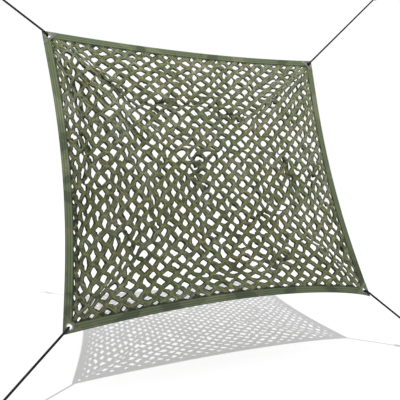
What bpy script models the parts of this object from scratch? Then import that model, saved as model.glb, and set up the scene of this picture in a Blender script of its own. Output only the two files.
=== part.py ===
"""Camouflage net, stretched between four ropes and leaning back.

The net is modelled the way it is made. A cloth panel, bound on all four sides with folded tape,
has a patch and a pressed eyelet at each corner. A rope comes through each eyelet from a stopper
knot behind it, and ends in a tied loop.

Every cloth piece is laid out flat, as it is cut, and is then hung: its edges draw in between the
corners, and the panel bellies and creases. Sheet coordinates are x across, y up the sheet and
z out of its front. The empty "hung_net" leans the sheet back and puts the middle of its top edge
at the world origin. Units are metres.
"""
import math
import random
from collections import namedtuple

import bmesh
import bpy
from mathutils import Matrix, Vector

# ---- the net as cut
NET_WIDTH = 1.5
NET_HEIGHT = 1.368
LEAN = math.radians(22.5)
MESH_COLUMNS = 11
MESH_ROWS = 12
CLOTH_THICKNESS = 0.0015
GAP = 0.0003
STRAND_WIDTH = 0.043
RIM_STRAND_WIDTH = 0.027
HOLE_ROUNDING = 0.10
SIDE_BULGE = 0.0045
BULGED_SIDES = 0.45
KNOT_SCATTER = 0.005

# ---- binding tape, folded over the panel's edge
TAPE_WIDTH = 0.035
TAPE_THICKNESS = 0.001
TAPE_STATIONS = 18
MITRE_GAP = 0.0009
TAPE_MIDDLE = CLOTH_THICKNESS / 2 + GAP + TAPE_THICKNESS / 2
TAPE_FACE = TAPE_MIDDLE + TAPE_THICKNESS / 2
PANEL_INSET = 0.005
MESH_INSET = TAPE_WIDTH + 0.002

# ---- corner patch and eyelet
PATCH_LEG = 0.078
PATCH_THICKNESS = 0.001
PATCH_INSET = 0.001
PATCH_BOTTOM = TAPE_FACE + GAP
EYELET_IN = 0.0255
BORE_RADIUS = 0.010
BARREL_RADIUS = 0.0108
FLANGE_RADIUS = 0.0155
FLANGE_HEIGHT = 0.002
EYELET_STEPS = 16
CUTTER_LENGTH = 0.020
FRONT_SEAT = PATCH_BOTTOM + PATCH_THICKNESS + GAP
BACK_SEAT = TAPE_FACE + GAP
HOLE_RADIUS = BARREL_RADIUS + GAP

# ---- ropes
ROPE_DIAMETER = 0.010
ROPE_RADIUS = ROPE_DIAMETER / 2
ROPE_IN_BORE = 0.0044
ROPE_BEND = 0.0085
ROPE_BEND_HEIGHT = 0.0033
ROPE_BEND_STEPS = 7
ROPE_STEP = 0.030
ROPE_FOOT = -(BACK_SEAT + FLANGE_HEIGHT)
ROPE_LINE = ROPE_BEND_HEIGHT + ROPE_BEND
STOPPER_RADIUS = 0.012
STOPPER_HEIGHT = 0.021
STOPPER_OUT = 0.0095
END_KNOT_LENGTH = 0.042
END_KNOT_RADIUS = 0.0145
END_KNOT_TURNS = 4
END_KNOT_STEPS = 10
LOOP_LENGTH = 0.070
LOOP_BULGE = 0.034
LOOP_POINTS = 19
LEG_SPREAD = ROPE_RADIUS + GAP
LEG_LEAD = 0.004

# ---- how the net hangs
Bow = namedtuple("Bow", "sag deepest_at fullness")
BOWS = {
    "left": Bow(sag=0.0444, deepest_at=0.483, fullness=1.20),
    "right": Bow(sag=0.0510, deepest_at=0.469, fullness=1.25),
    "top": Bow(sag=0.0296, deepest_at=0.518, fullness=1.05),
    "bottom": Bow(sag=0.0614, deepest_at=0.581, fullness=0.77),
}
DRAW_IN = 2.0
BELLY = 0.016
FLAT_RIM = 0.040
RISE_OVER = 0.050

# Creases by the fraction of the sheet's width and height at each end.
Crease = namedtuple("Crease", "x0 y0 x1 y1 rise half_width")
CREASES = (
    Crease(x0=0.02, y0=0.99, x1=0.28, y1=0.70, rise=0.016, half_width=0.030),
    Crease(x0=0.10, y0=0.97, x1=0.42, y1=0.56, rise=-0.012, half_width=0.034),
    Crease(x0=0.98, y0=0.99, x1=0.70, y1=0.64, rise=0.018, half_width=0.032),
    Crease(x0=0.88, y0=0.97, x1=0.60, y1=0.72, rise=-0.012, half_width=0.030),
    Crease(x0=0.34, y0=0.74, x1=0.72, y1=0.75, rise=0.015, half_width=0.028),
    Crease(x0=0.34, y0=0.58, x1=0.58, y1=0.56, rise=0.015, half_width=0.028),
    Crease(x0=0.50, y0=0.82, x1=0.60, y1=0.68, rise=-0.014, half_width=0.030),
    Crease(x0=0.02, y0=0.01, x1=0.24, y1=0.27, rise=0.014, half_width=0.032),
    Crease(x0=0.98, y0=0.01, x1=0.74, y1=0.30, rise=0.015, half_width=0.034),
    Crease(x0=0.58, y0=0.27, x1=0.80, y1=0.34, rise=0.012, half_width=0.030),
)

# A corner's place on the sheet, and where its rope's far knot is tied, both in sheet metres.
Corner = namedtuple("Corner", "name right top rope_end")
CORNERS = (
    Corner(name="tl", right=0, top=1, rope_end=(-0.197, 1.534)),
    Corner(name="tr", right=1, top=1, rope_end=(2.148, 1.911)),
    Corner(name="bl", right=0, top=0, rope_end=(-0.235, -0.215)),
    Corner(name="br", right=1, top=0, rope_end=(1.680, -0.155)),
)

# ---- colours
Finish = namedtuple("Finish", "color roughness metallic")
FINISHES = {
    "net_cloth": Finish(color=(0.135, 0.150, 0.080), roughness=0.85, metallic=0.0),
    "binding_tape": Finish(color=(0.100, 0.130, 0.075), roughness=0.80, metallic=0.0),
    "corner_patch": Finish(color=(0.170, 0.175, 0.130), roughness=0.75, metallic=0.0),
    "eyelet_metal": Finish(color=(0.700, 0.700, 0.690), roughness=0.35, metallic=1.0),
    "rope": Finish(color=(0.010, 0.010, 0.010), roughness=0.70, metallic=0.0),
}


def clear_scene():
    for obj in list(bpy.data.objects):
        bpy.data.objects.remove(obj, do_unlink=True)


def make_material(name):
    finish = FINISHES[name]
    material = bpy.data.materials.new(name)
    material.use_nodes = True
    shader = material.node_tree.nodes["Principled BSDF"]
    shader.inputs["Base Color"].default_value = (*finish.color, 1.0)
    shader.inputs["Roughness"].default_value = finish.roughness
    shader.inputs["Metallic"].default_value = finish.metallic
    return material


def add_object(name, data, collection, parent, material=None):
    """Puts a mesh or curve in a collection, under the hung net's empty."""
    obj = bpy.data.objects.new(name, data)
    collection.objects.link(obj)
    obj.parent = parent
    if material:
        data.materials.append(material)
    return obj


# ---- hanging

def bow_depth(side, fraction):
    """How far an edge draws in at a fraction of its run."""
    bow = BOWS[side]
    run = min(max(fraction, 0.0), 1.0) ** (math.log(0.5) / math.log(bow.deepest_at))
    return bow.sag * (4 * run * (1 - run)) ** bow.fullness


def smooth_step(value):
    value = min(max(value, 0.0), 1.0)
    return value * value * (3 - 2 * value)


def crease_height(crease, x, y):
    """A soft ridge along the crease's line, fading at both of its ends."""
    start = Vector((crease.x0 * NET_WIDTH, crease.y0 * NET_HEIGHT))
    along = Vector((crease.x1 * NET_WIDTH, crease.y1 * NET_HEIGHT)) - start
    offset = Vector((x, y)) - start
    fraction = offset.dot(along) / along.length_squared
    if not 0 < fraction < 1:
        return 0.0
    aside = (offset - fraction * along).length
    return crease.rise * math.sin(math.pi * fraction) * math.exp(-(aside / crease.half_width) ** 2)


def sheet_height(x, y):
    """The panel's belly and creases, which leave its rim flat in the binding."""
    to_edge = min(x, NET_WIDTH - x, y, NET_HEIGHT - y)
    rise = smooth_step((to_edge - FLAT_RIM) / RISE_OVER)
    belly = BELLY * math.sin(math.pi * x / NET_WIDTH) * math.sin(math.pi * y / NET_HEIGHT)
    return rise * (sum(crease_height(crease, x, y) for crease in CREASES) - belly)


def hang(x, y, z=0.0):
    """Moves a point of the flat cut cloth to its place on the hung sheet."""
    across = x / NET_WIDTH
    up = y / NET_HEIGHT
    from_left = bow_depth("left", up) * (1 - across) ** DRAW_IN
    from_right = bow_depth("right", up) * across ** DRAW_IN
    from_bottom = bow_depth("bottom", across) * (1 - up) ** DRAW_IN
    from_top = bow_depth("top", across) * up ** DRAW_IN
    return Vector((x + from_left - from_right, y + from_bottom - from_top, z))


def corner_point(corner, inward_x, inward_y):
    """A flat point at a distance in from both edges of a corner."""
    x = NET_WIDTH - inward_x if corner.right else inward_x
    y = NET_HEIGHT - inward_y if corner.top else inward_y
    return x, y


def eyelet_centre(corner):
    return hang(*corner_point(corner, EYELET_IN, EYELET_IN))


# ---- modelling helpers

def bmesh_object(bm, name, collection, parent, material=None):
    mesh = bpy.data.meshes.new(name)
    bm.to_mesh(mesh)
    bm.free()
    return add_object(name, mesh, collection, parent, material)


def solidify(obj, thickness):
    modifier = obj.modifiers.new("thickness", "SOLIDIFY")
    modifier.thickness = thickness
    modifier.offset = 0.0


def cut_eyelet_hole(obj, cutters):
    for cutter in cutters:
        modifier = obj.modifiers.new("eyelet_hole", "BOOLEAN")
        modifier.operation = "DIFFERENCE"
        modifier.object = cutter


def tube(name, points, radius, collection, parent, material):
    """A rope's round tube through a list of points."""
    curve = bpy.data.curves.new(name, "CURVE")
    curve.dimensions = "3D"
    curve.bevel_depth = radius
    curve.bevel_resolution = 2
    curve.use_fill_caps = True
    spline = curve.splines.new("POLY")
    spline.points.add(len(points) - 1)
    for point, place in zip(spline.points, points):
        point.co = (*place, 1.0)
    return add_object(name, curve, collection, parent, material)


def turned(name, profile, steps, matrix, collection, parent, material):
    """A turned piece: a profile of (radius, height) points, screwed about its own Z axis."""
    bm = bmesh.new()
    verts = [bm.verts.new((radius, 0.0, height)) for radius, height in profile]
    for first, second in zip(verts, verts[1:] + (verts[:1] if profile[0][0] > 0 else [])):
        bm.edges.new((first, second))
    obj = bmesh_object(bm, name, collection, parent, material)
    obj.matrix_local = matrix
    screw = obj.modifiers.new("turn", "SCREW")
    screw.steps = steps
    screw.render_steps = steps
    screw.use_merge_vertices = True
    screw.merge_threshold = 0.00001
    screw.use_smooth_shade = True
    return obj


# ---- panel

def lattice_cells(bm, chance):
    """A grid turned into diamonds, with half diamonds along its rim and its knots scattered."""
    bmesh.ops.create_grid(bm, x_segments=MESH_COLUMNS, y_segments=MESH_ROWS, size=0.5)
    grid_edges = [edge for edge in bm.edges if not edge.is_boundary]
    bmesh.ops.poke(bm, faces=bm.faces[:])
    bmesh.ops.dissolve_edges(bm, edges=grid_edges, use_verts=False)
    for vert in bm.verts:
        x = MESH_INSET + (vert.co.x + 0.5) * (NET_WIDTH - 2 * MESH_INSET)
        y = MESH_INSET + (vert.co.y + 0.5) * (NET_HEIGHT - 2 * MESH_INSET)
        if not vert.is_boundary:
            x += chance.uniform(-KNOT_SCATTER, KNOT_SCATTER)
            y += chance.uniform(-KNOT_SCATTER, KNOT_SCATTER)
        vert.co = (x, y, 0.0)
    return bm.faces[:]


def add_panel_rim(bm):
    """The strip of cloth round the mesh, which lies inside the binding."""
    boundary = [edge for edge in bm.edges if edge.is_boundary]
    extruded = bmesh.ops.extrude_edge_only(bm, edges=boundary)
    for vert in [item for item in extruded["geom"] if isinstance(item, bmesh.types.BMVert)]:
        for axis, size in ((0, NET_WIDTH), (1, NET_HEIGHT)):
            if abs(vert.co[axis] - MESH_INSET) < GAP:
                vert.co[axis] = PANEL_INSET
            elif abs(vert.co[axis] - (size - MESH_INSET)) < GAP:
                vert.co[axis] = size - PANEL_INSET
    for edge in [edge for edge in bm.edges if edge.is_boundary]:
        bmesh.utils.edge_split(edge, edge.verts[0], 0.5)


def cut_holes(bm, cells, chance):
    """Insets each cell by half a strand, makes its outline uneven, and opens it."""
    diamonds = [face for face in cells if len(face.verts) == 4]
    halves = [face for face in cells if len(face.verts) == 3]
    bmesh.ops.inset_individual(bm, faces=diamonds, thickness=STRAND_WIDTH / 2, use_even_offset=True)
    bmesh.ops.inset_individual(bm, faces=halves, thickness=RIM_STRAND_WIDTH / 2, use_even_offset=True)
    for face in diamonds:
        centre = face.calc_center_median()
        for vert in face.verts:
            vert.co += (centre - vert.co) * HOLE_ROUNDING * chance.uniform(-0.6, 1.6)
        for edge in face.edges[:]:
            if chance.random() < BULGED_SIDES:
                middle = bmesh.utils.edge_split(edge, edge.verts[0], 0.5)[1]
                outward = (middle.co - centre).normalized()
                middle.co += outward * SIDE_BULGE * chance.uniform(0.4, 1.6)
    bmesh.ops.delete(bm, geom=diamonds + halves, context="FACES_ONLY")


def build_panel(collection, parent, material, cutters):
    chance = random.Random(11)
    bm = bmesh.new()
    cells = lattice_cells(bm, chance)
    add_panel_rim(bm)
    cut_holes(bm, cells, chance)
    bmesh.ops.triangulate(bm, faces=bm.faces[:])
    for vert in bm.verts:
        vert.co = hang(vert.co.x, vert.co.y, sheet_height(vert.co.x, vert.co.y))
    panel = bmesh_object(bm, "net_panel", collection, parent, material)
    solidify(panel, CLOTH_THICKNESS)
    cut_eyelet_hole(panel, cutters)


# ---- binding

def tape_section():
    """The folded tape's mid-line, as (distance in from its fold, height) from front to back."""
    fold_centre = TAPE_MIDDLE + TAPE_THICKNESS / 2
    section = [(TAPE_WIDTH, TAPE_MIDDLE)]
    for degrees in (90, 45, 0, -45, -90):
        angle = math.radians(degrees)
        inward = fold_centre - TAPE_MIDDLE * math.cos(angle)
        section.append((inward, TAPE_MIDDLE * math.sin(angle)))
    section.append((TAPE_WIDTH, -TAPE_MIDDLE))
    return section


def side_point(side, along, inward):
    """A flat point at a distance along a side of the net and in from its edge."""
    return {
        "bottom": (along, inward),
        "top": (along, NET_HEIGHT - inward),
        "left": (inward, along),
        "right": (NET_WIDTH - inward, along),
    }[side]


def build_tape(side, collection, parent, material, cutters):
    """One side's binding: a folded strip whose ends are mitred at the corners."""
    length = NET_WIDTH if side in ("top", "bottom") else NET_HEIGHT
    section = tape_section()
    bm = bmesh.new()
    bmesh.ops.create_grid(bm, x_segments=TAPE_STATIONS, y_segments=len(section) - 1, size=0.5)
    for vert in bm.verts:
        inward, height = section[round((vert.co.y + 0.5) * (len(section) - 1))]
        mitre = inward + MITRE_GAP
        along = mitre + (vert.co.x + 0.5) * (length - 2 * mitre)
        vert.co = hang(*side_point(side, along, inward), height)
    tape = bmesh_object(bm, "binding_" + side, collection, parent, material)
    solidify(tape, TAPE_THICKNESS)
    cut_eyelet_hole(tape, cutters)


# ---- corners

def build_patch(corner, collection, parent, material):
    """A triangle of cloth on the front of the binding's corner, with a hole for the eyelet."""
    reach = PATCH_LEG - PATCH_INSET
    outline = [corner_point(corner, PATCH_INSET, PATCH_INSET)]
    for share in (0.35, 0.7, 1.0):
        outline.append(corner_point(corner, PATCH_INSET + share * reach, PATCH_INSET))
    for share in (1.0, 0.7, 0.35):
        outline.append(corner_point(corner, PATCH_INSET, PATCH_INSET + share * reach))
    hung_outline = [hang(x, y) for x, y in outline]
    centre = eyelet_centre(corner)
    hole = []
    for step in range(EYELET_STEPS):
        angle = math.tau * step / EYELET_STEPS
        hole.append(centre + HOLE_RADIUS * Vector((math.cos(angle), math.sin(angle), 0.0)))
    curve = bpy.data.curves.new("corner_patch_" + corner.name, "CURVE")
    curve.dimensions = "2D"
    curve.fill_mode = "BOTH"
    curve.extrude = PATCH_THICKNESS / 2
    for loop in (hung_outline, hole):
        spline = curve.splines.new("POLY")
        spline.points.add(len(loop) - 1)
        for point, place in zip(spline.points, loop):
            point.co = (place.x, place.y, 0.0, 1.0)
        spline.use_cyclic_u = True
    patch = add_object(curve.name, curve, collection, parent, material)
    patch.location.z = PATCH_BOTTOM + PATCH_THICKNESS / 2


def eyelet_profile():
    """A pressed eyelet: a barrel whose ends are rolled out into a front and a back flange."""
    front = FRONT_SEAT + FLANGE_HEIGHT
    back = BACK_SEAT + FLANGE_HEIGHT
    lip = 0.0006
    return [
        (BORE_RADIUS + lip, front - lip / 2),
        (BORE_RADIUS + 3 * lip, front),
        (FLANGE_RADIUS - 3 * lip, front - lip),
        (FLANGE_RADIUS, FRONT_SEAT + 1.5 * lip),
        (FLANGE_RADIUS - lip, FRONT_SEAT),
        (BARREL_RADIUS, FRONT_SEAT),
        (BARREL_RADIUS, -BACK_SEAT),
        (FLANGE_RADIUS - lip, -BACK_SEAT),
        (FLANGE_RADIUS - lip, -BACK_SEAT - 1.5 * lip),
        (BORE_RADIUS + 3 * lip, -back),
        (BORE_RADIUS, lip - back),
        (BORE_RADIUS, front - 3 * lip),
    ]


def stopper_profile():
    """The outside of a two-turn knot, from its seat on the eyelet down to its tail."""
    radius = STOPPER_RADIUS
    height = STOPPER_HEIGHT
    return [
        (0.0, 0.0),
        (0.68 * radius, 0.0),
        (0.92 * radius, -0.10 * height),
        (radius, -0.28 * height),
        (0.88 * radius, -0.50 * height),
        (radius, -0.70 * height),
        (0.88 * radius, -0.90 * height),
        (0.55 * radius, -height),
        (0.0, -height),
    ]


def end_knot_profile():
    """The outside of the turns that close the rope's end loop, from the loop to the rope."""
    turn = END_KNOT_LENGTH / END_KNOT_TURNS
    groove = END_KNOT_RADIUS - 0.3 * ROPE_RADIUS
    profile = [(0.0, END_KNOT_LENGTH), (LEG_SPREAD + ROPE_RADIUS, END_KNOT_LENGTH)]
    for number in range(END_KNOT_TURNS):
        top = END_KNOT_LENGTH - number * turn
        profile.append((END_KNOT_RADIUS, top - 0.35 * turn))
        profile.append((END_KNOT_RADIUS, top - 0.65 * turn))
        if number < END_KNOT_TURNS - 1:
            profile.append((groove, top - turn))
    profile += [(LEG_SPREAD + ROPE_RADIUS, 0.0), (0.0, 0.0)]
    return profile


def rope_frame(corner):
    """The eyelet's centre, the rope's direction in the sheet, and the length to its end knot."""
    centre = eyelet_centre(corner)
    run = Vector((*corner.rope_end, 0.0)) - centre
    return centre, run.normalized(), run.length


def rope_route(corner):
    """Up the outward side of the eyelet, over its rim, and straight out past the corner."""
    centre, outward, length = rope_frame(corner)
    places = [(ROPE_IN_BORE, ROPE_FOOT)]
    bend_out = ROPE_IN_BORE + ROPE_BEND
    for step in range(ROPE_BEND_STEPS + 1):
        angle = step / ROPE_BEND_STEPS * math.pi / 2
        away = bend_out - ROPE_BEND * math.cos(angle)
        places.append((away, ROPE_BEND * math.sin(angle) + ROPE_BEND_HEIGHT))
    steps = math.ceil((length - bend_out) / ROPE_STEP)
    for step in range(1, steps + 1):
        away = bend_out + (length - bend_out) * step / steps
        places.append((away, ROPE_LINE))
    return [centre + outward * away + Vector((0, 0, height)) for away, height in places]


def loop_route(corner):
    """A teardrop from the end knot's far face and back to it."""
    centre, outward, length = rope_frame(corner)
    aside = Vector((-outward.y, outward.x, 0.0))
    start = centre + outward * (length + END_KNOT_LENGTH + 2 * GAP) + Vector((0, 0, ROPE_LINE))
    route = [start + aside * LEG_SPREAD]
    for step in range(LOOP_POINTS):
        turn = math.tau * step / (LOOP_POINTS - 1)
        away = LEG_LEAD + LOOP_LENGTH / 2 * (1 - math.cos(turn))
        bulge = LOOP_BULGE * math.sin(turn) * math.sin(turn / 2) ** 2
        route.append(start + outward * away + aside * (LEG_SPREAD * math.cos(turn / 2) + bulge))
    return route + [start - aside * LEG_SPREAD]


def build_rope(corner, collection, parent, material):
    centre, outward, length = rope_frame(corner)
    name = corner.name
    tube("rope_" + name, rope_route(corner), ROPE_RADIUS, collection, parent, material)
    tube("end_loop_" + name, loop_route(corner), ROPE_RADIUS, collection, parent, material)
    seat = centre + outward * STOPPER_OUT + Vector((0, 0, ROPE_FOOT - GAP))
    turned("stopper_knot_" + name, stopper_profile(), END_KNOT_STEPS, Matrix.Translation(seat),
           collection, parent, material)
    start = centre + outward * (length + GAP) + Vector((0, 0, ROPE_LINE))
    turn = outward.to_track_quat("Z", "Y").to_matrix().to_4x4()
    turned("end_knot_" + name, end_knot_profile(), END_KNOT_STEPS, Matrix.Translation(start) @ turn,
           collection, parent, material)


def build_cutter(corner, collection, parent):
    """A cylinder that cuts the eyelet's hole in the cloth."""
    bm = bmesh.new()
    bmesh.ops.create_cone(bm, cap_ends=True, segments=EYELET_STEPS, radius1=HOLE_RADIUS,
                          radius2=HOLE_RADIUS, depth=CUTTER_LENGTH)
    cutter = bmesh_object(bm, "cutter_" + corner.name, collection, parent)
    cutter.location = eyelet_centre(corner)
    cutter.hide_render = True
    cutter.display_type = "WIRE"
    return cutter


def main():
    clear_scene()
    pieces = bpy.data.collections.new("camouflage_net")
    cutting = bpy.data.collections.new("cutters")
    for collection in (pieces, cutting):
        bpy.context.scene.collection.children.link(collection)
    materials = {name: make_material(name) for name in FINISHES}

    lean_back = Matrix.Rotation(math.pi / 2 - LEAN, 4, "X")
    hung_net = bpy.data.objects.new("hung_net", None)
    pieces.objects.link(hung_net)
    hung_net.rotation_euler = lean_back.to_euler()
    hung_net.location = -(lean_back @ hang(NET_WIDTH / 2, NET_HEIGHT))

    cutters = {corner.name: build_cutter(corner, cutting, hung_net) for corner in CORNERS}
    build_panel(pieces, hung_net, materials["net_cloth"], list(cutters.values()))
    for side, ends in (("left", "tl bl"), ("right", "tr br"), ("top", "tl tr"), ("bottom", "bl br")):
        side_cutters = [cutters[name] for name in ends.split()]
        build_tape(side, pieces, hung_net, materials["binding_tape"], side_cutters)
    for corner in CORNERS:
        build_patch(corner, pieces, hung_net, materials["corner_patch"])
        turned("eyelet_" + corner.name, eyelet_profile(), EYELET_STEPS,
               Matrix.Translation(eyelet_centre(corner)), pieces, hung_net, materials["eyelet_metal"])
        build_rope(corner, pieces, hung_net, materials["rope"])


main()
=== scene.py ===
"""Camouflage net stretched between four ropes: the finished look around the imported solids.

The net is dressed the way it is made. A printed cloth panel, cut into a diamond mesh, is bound with
folded tape, has a patch and a pressed eyelet at each corner, and hangs from four braided ropes.

Every cloth piece is laid out flat, as it is cut, and is then hung. Sheet coordinates are x across,
y up the sheet and z out of its front, in metres. HungSheet takes them to the frame of the solids.
"""
import logging
import math
from dataclasses import dataclass
from enum import Enum

import bmesh
import bpy
import numpy as np
from bpy.types import Material, Node, NodeSocket, NodeTree, Object
from mathutils import Matrix, Vector


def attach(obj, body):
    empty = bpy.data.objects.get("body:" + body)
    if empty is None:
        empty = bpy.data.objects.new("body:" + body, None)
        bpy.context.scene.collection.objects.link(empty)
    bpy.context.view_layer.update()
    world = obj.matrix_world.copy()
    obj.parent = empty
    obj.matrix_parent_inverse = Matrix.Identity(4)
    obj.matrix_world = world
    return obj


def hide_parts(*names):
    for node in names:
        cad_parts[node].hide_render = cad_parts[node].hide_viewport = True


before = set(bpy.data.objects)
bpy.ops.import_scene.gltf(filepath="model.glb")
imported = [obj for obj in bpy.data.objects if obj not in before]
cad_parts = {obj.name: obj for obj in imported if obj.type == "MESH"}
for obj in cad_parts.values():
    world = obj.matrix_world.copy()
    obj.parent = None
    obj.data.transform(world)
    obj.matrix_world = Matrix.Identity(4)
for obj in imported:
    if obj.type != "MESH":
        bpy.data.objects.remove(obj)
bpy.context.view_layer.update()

LOG = logging.getLogger("camouflage_net")
BODY = "root"
MM = 0.001
GAP = 0.3 * MM
Array = np.ndarray
Pair = tuple[float, float]
Triple = tuple[float, float, float]


# ---- shared helpers

def linear(colour: str) -> tuple[float, float, float, float]:
    """Turns an sRGB hex colour into linear RGBA.

    Args:
        colour: six hex digits, such as "6b7052".

    Returns:
        Linear red, green, blue and an alpha of one.
    """
    channels = []
    for start in (0, 2, 4):
        value = int(colour[start:start + 2], 16) / 255
        channels.append(value / 12.92 if value <= 0.04045 else ((value + 0.055) / 1.055) ** 2.4)
    return (*channels, 1.0)


def smooth_step(value: Array) -> Array:
    """Eases a value from 0 to 1, and holds it flat outside."""
    value = np.clip(value, 0.0, 1.0)
    return value * value * (3 - 2 * value)


def fill(node: Node, inputs: dict) -> None:
    """Fills in a node's sockets.

    Args:
        node: the node.
        inputs: socket names or numbers, each with a value, or with the output that it is linked
            from. A node stands for its first output in use, and a tuple of sockets takes a tuple.
    """
    for names, values in inputs.items():
        for name, value in zip(names, values) if isinstance(names, tuple) else [(names, values)]:
            if isinstance(value, Node):
                value = next(output for output in value.outputs if output.enabled)
            if isinstance(value, NodeSocket):
                node.id_data.links.new(value, node.inputs[name])
            else:
                node.inputs[name].default_value = value


def add_node(tree: NodeTree, kind: str, inputs: dict | None = None, **settings: object) -> Node:
    """Adds one shader node with its settings, its socket values and its links.

    Args:
        tree: the node tree that takes the node.
        kind: the node's type name, after "ShaderNode".
        inputs: what its sockets are filled with.
        settings: the node's own properties.

    Returns:
        The new node.
    """
    node = tree.nodes.new("ShaderNode" + kind)
    for name, value in settings.items():
        setattr(node, name, value)
    fill(node, inputs or {})
    return node


def add_object(name: str, data: bpy.types.ID) -> Object:
    """Makes an object and puts it in the scene.

    Args:
        name: the object's name.
        data: its mesh, lamp or camera data.

    Returns:
        The new object.
    """
    obj = bpy.data.objects.new(name, data)
    bpy.context.scene.collection.objects.link(obj)
    return obj


def add_mesh(name: str, points: Array, faces: list, material: Material, slot: str,
             **surface: Array) -> Object:
    """Makes a smooth-shaded piece from points and faces, which rides on the net's one body.

    Args:
        name: the piece's name.
        points: an (n, 3) array in the frame of the solids.
        faces: tuples of point numbers.
        material: its finish.
        slot: the record's material slot's name; not used.
        surface: what its finish reads at each point, under the attributes' names.

    Returns:
        The new object.
    """
    mesh = bpy.data.meshes.new(name)
    mesh.from_pydata(points.tolist(), [], faces)
    mesh.polygons.foreach_set("use_smooth", [True] * len(mesh.polygons))
    mesh.materials.append(material)
    obj = add_object(name, mesh)
    bm = bmesh.new()
    bm.from_mesh(mesh)
    bmesh.ops.recalc_face_normals(bm, faces=bm.faces[:])
    bm.to_mesh(mesh)
    bm.free()
    for attribute, values in surface.items():
        mesh.attributes.new(attribute, "FLOAT", "POINT").data.foreach_set("value", values)
    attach(obj, BODY)
    return obj


def tube_faces(rings: int, around: int, looped: bool) -> list:
    """The faces of a tube of points that is stored ring by ring.

    Args:
        rings: how many rings of points.
        around: how many points in a ring.
        looped: whether the last ring joins the first. If not, both ends are capped.

    Returns:
        Tuples of point numbers.
    """
    count = rings * around
    faces = []
    for first in range(0, count if looped else count - around, around):
        for k in range(around):
            after = (k + 1) % around
            faces.append(tuple(number % count for number in (
                first + k, first + after, first + around + after, first + around + k)))
    if not looped:
        faces.append(tuple(range(around))[::-1])
        faces.append(tuple(range(count - around, count)))
    return faces


# ---- how the sheet hangs

class Named(Enum):
    """A choice with the name that the nodes have."""

    @property
    def label(self) -> str:
        """The name, as the nodes have it."""
        return self.name.lower()


class Side(Named):
    """One side of the net, with whether it runs across and whether it is the far one."""

    LEFT = (False, False)
    RIGHT = (False, True)
    BOTTOM = (True, False)
    TOP = (True, True)


class Corner(Named):
    """One corner, with whether it is right and top, and its rope's far knot in sheet metres."""

    TL = (0, 1, (-0.197, 1.534))
    TR = (1, 1, (2.148, 1.911))
    BL = (0, 0, (-0.235, -0.215))
    BR = (1, 0, (1.68, -0.155))


@dataclass(frozen=True)
class Bow:
    """How one edge draws in between its corners."""

    sag: float
    deepest_at: float
    fullness: float

    def depth(self, fraction: Array) -> Array:
        """How far the edge draws in at a fraction of its run."""
        run = np.clip(fraction, 0.0, 1.0) ** (math.log(0.5) / math.log(self.deepest_at))
        return self.sag * (4 * run * (1 - run)) ** self.fullness


@dataclass(frozen=True)
class Crease:
    """A soft ridge or trough, by the fraction of the sheet's width and height at each end.

    gather is how much it draws the cloth in from both sides, and tangle, from 0 to 1, is how much
    it upsets the strands that it crosses. tight, from 0 to 1, is how far it draws a chain of
    strands into one straight line. shade is how dark the shade painted in its trough is.
    """

    start: Pair
    end: Pair
    rise: float
    half_width: float
    gather: float = 0.0
    tangle: float = 0.0
    tight: float = 0.0
    shade: float = 1.0


@dataclass(frozen=True)
class Streak:
    """A soft-edged stretch of painted light: paler along a lit crest with a gain above 0, darker along a
    shaded fold below.
    """

    start: Pair
    end: Pair
    half_width: float
    gain: float


@dataclass(frozen=True)
class Tug:
    """A place where the cloth's tension draws the holes long, by fractions of the sheet's size."""

    x: float
    y: float
    degrees: float
    strength: float
    reach: float = 0.13


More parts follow.
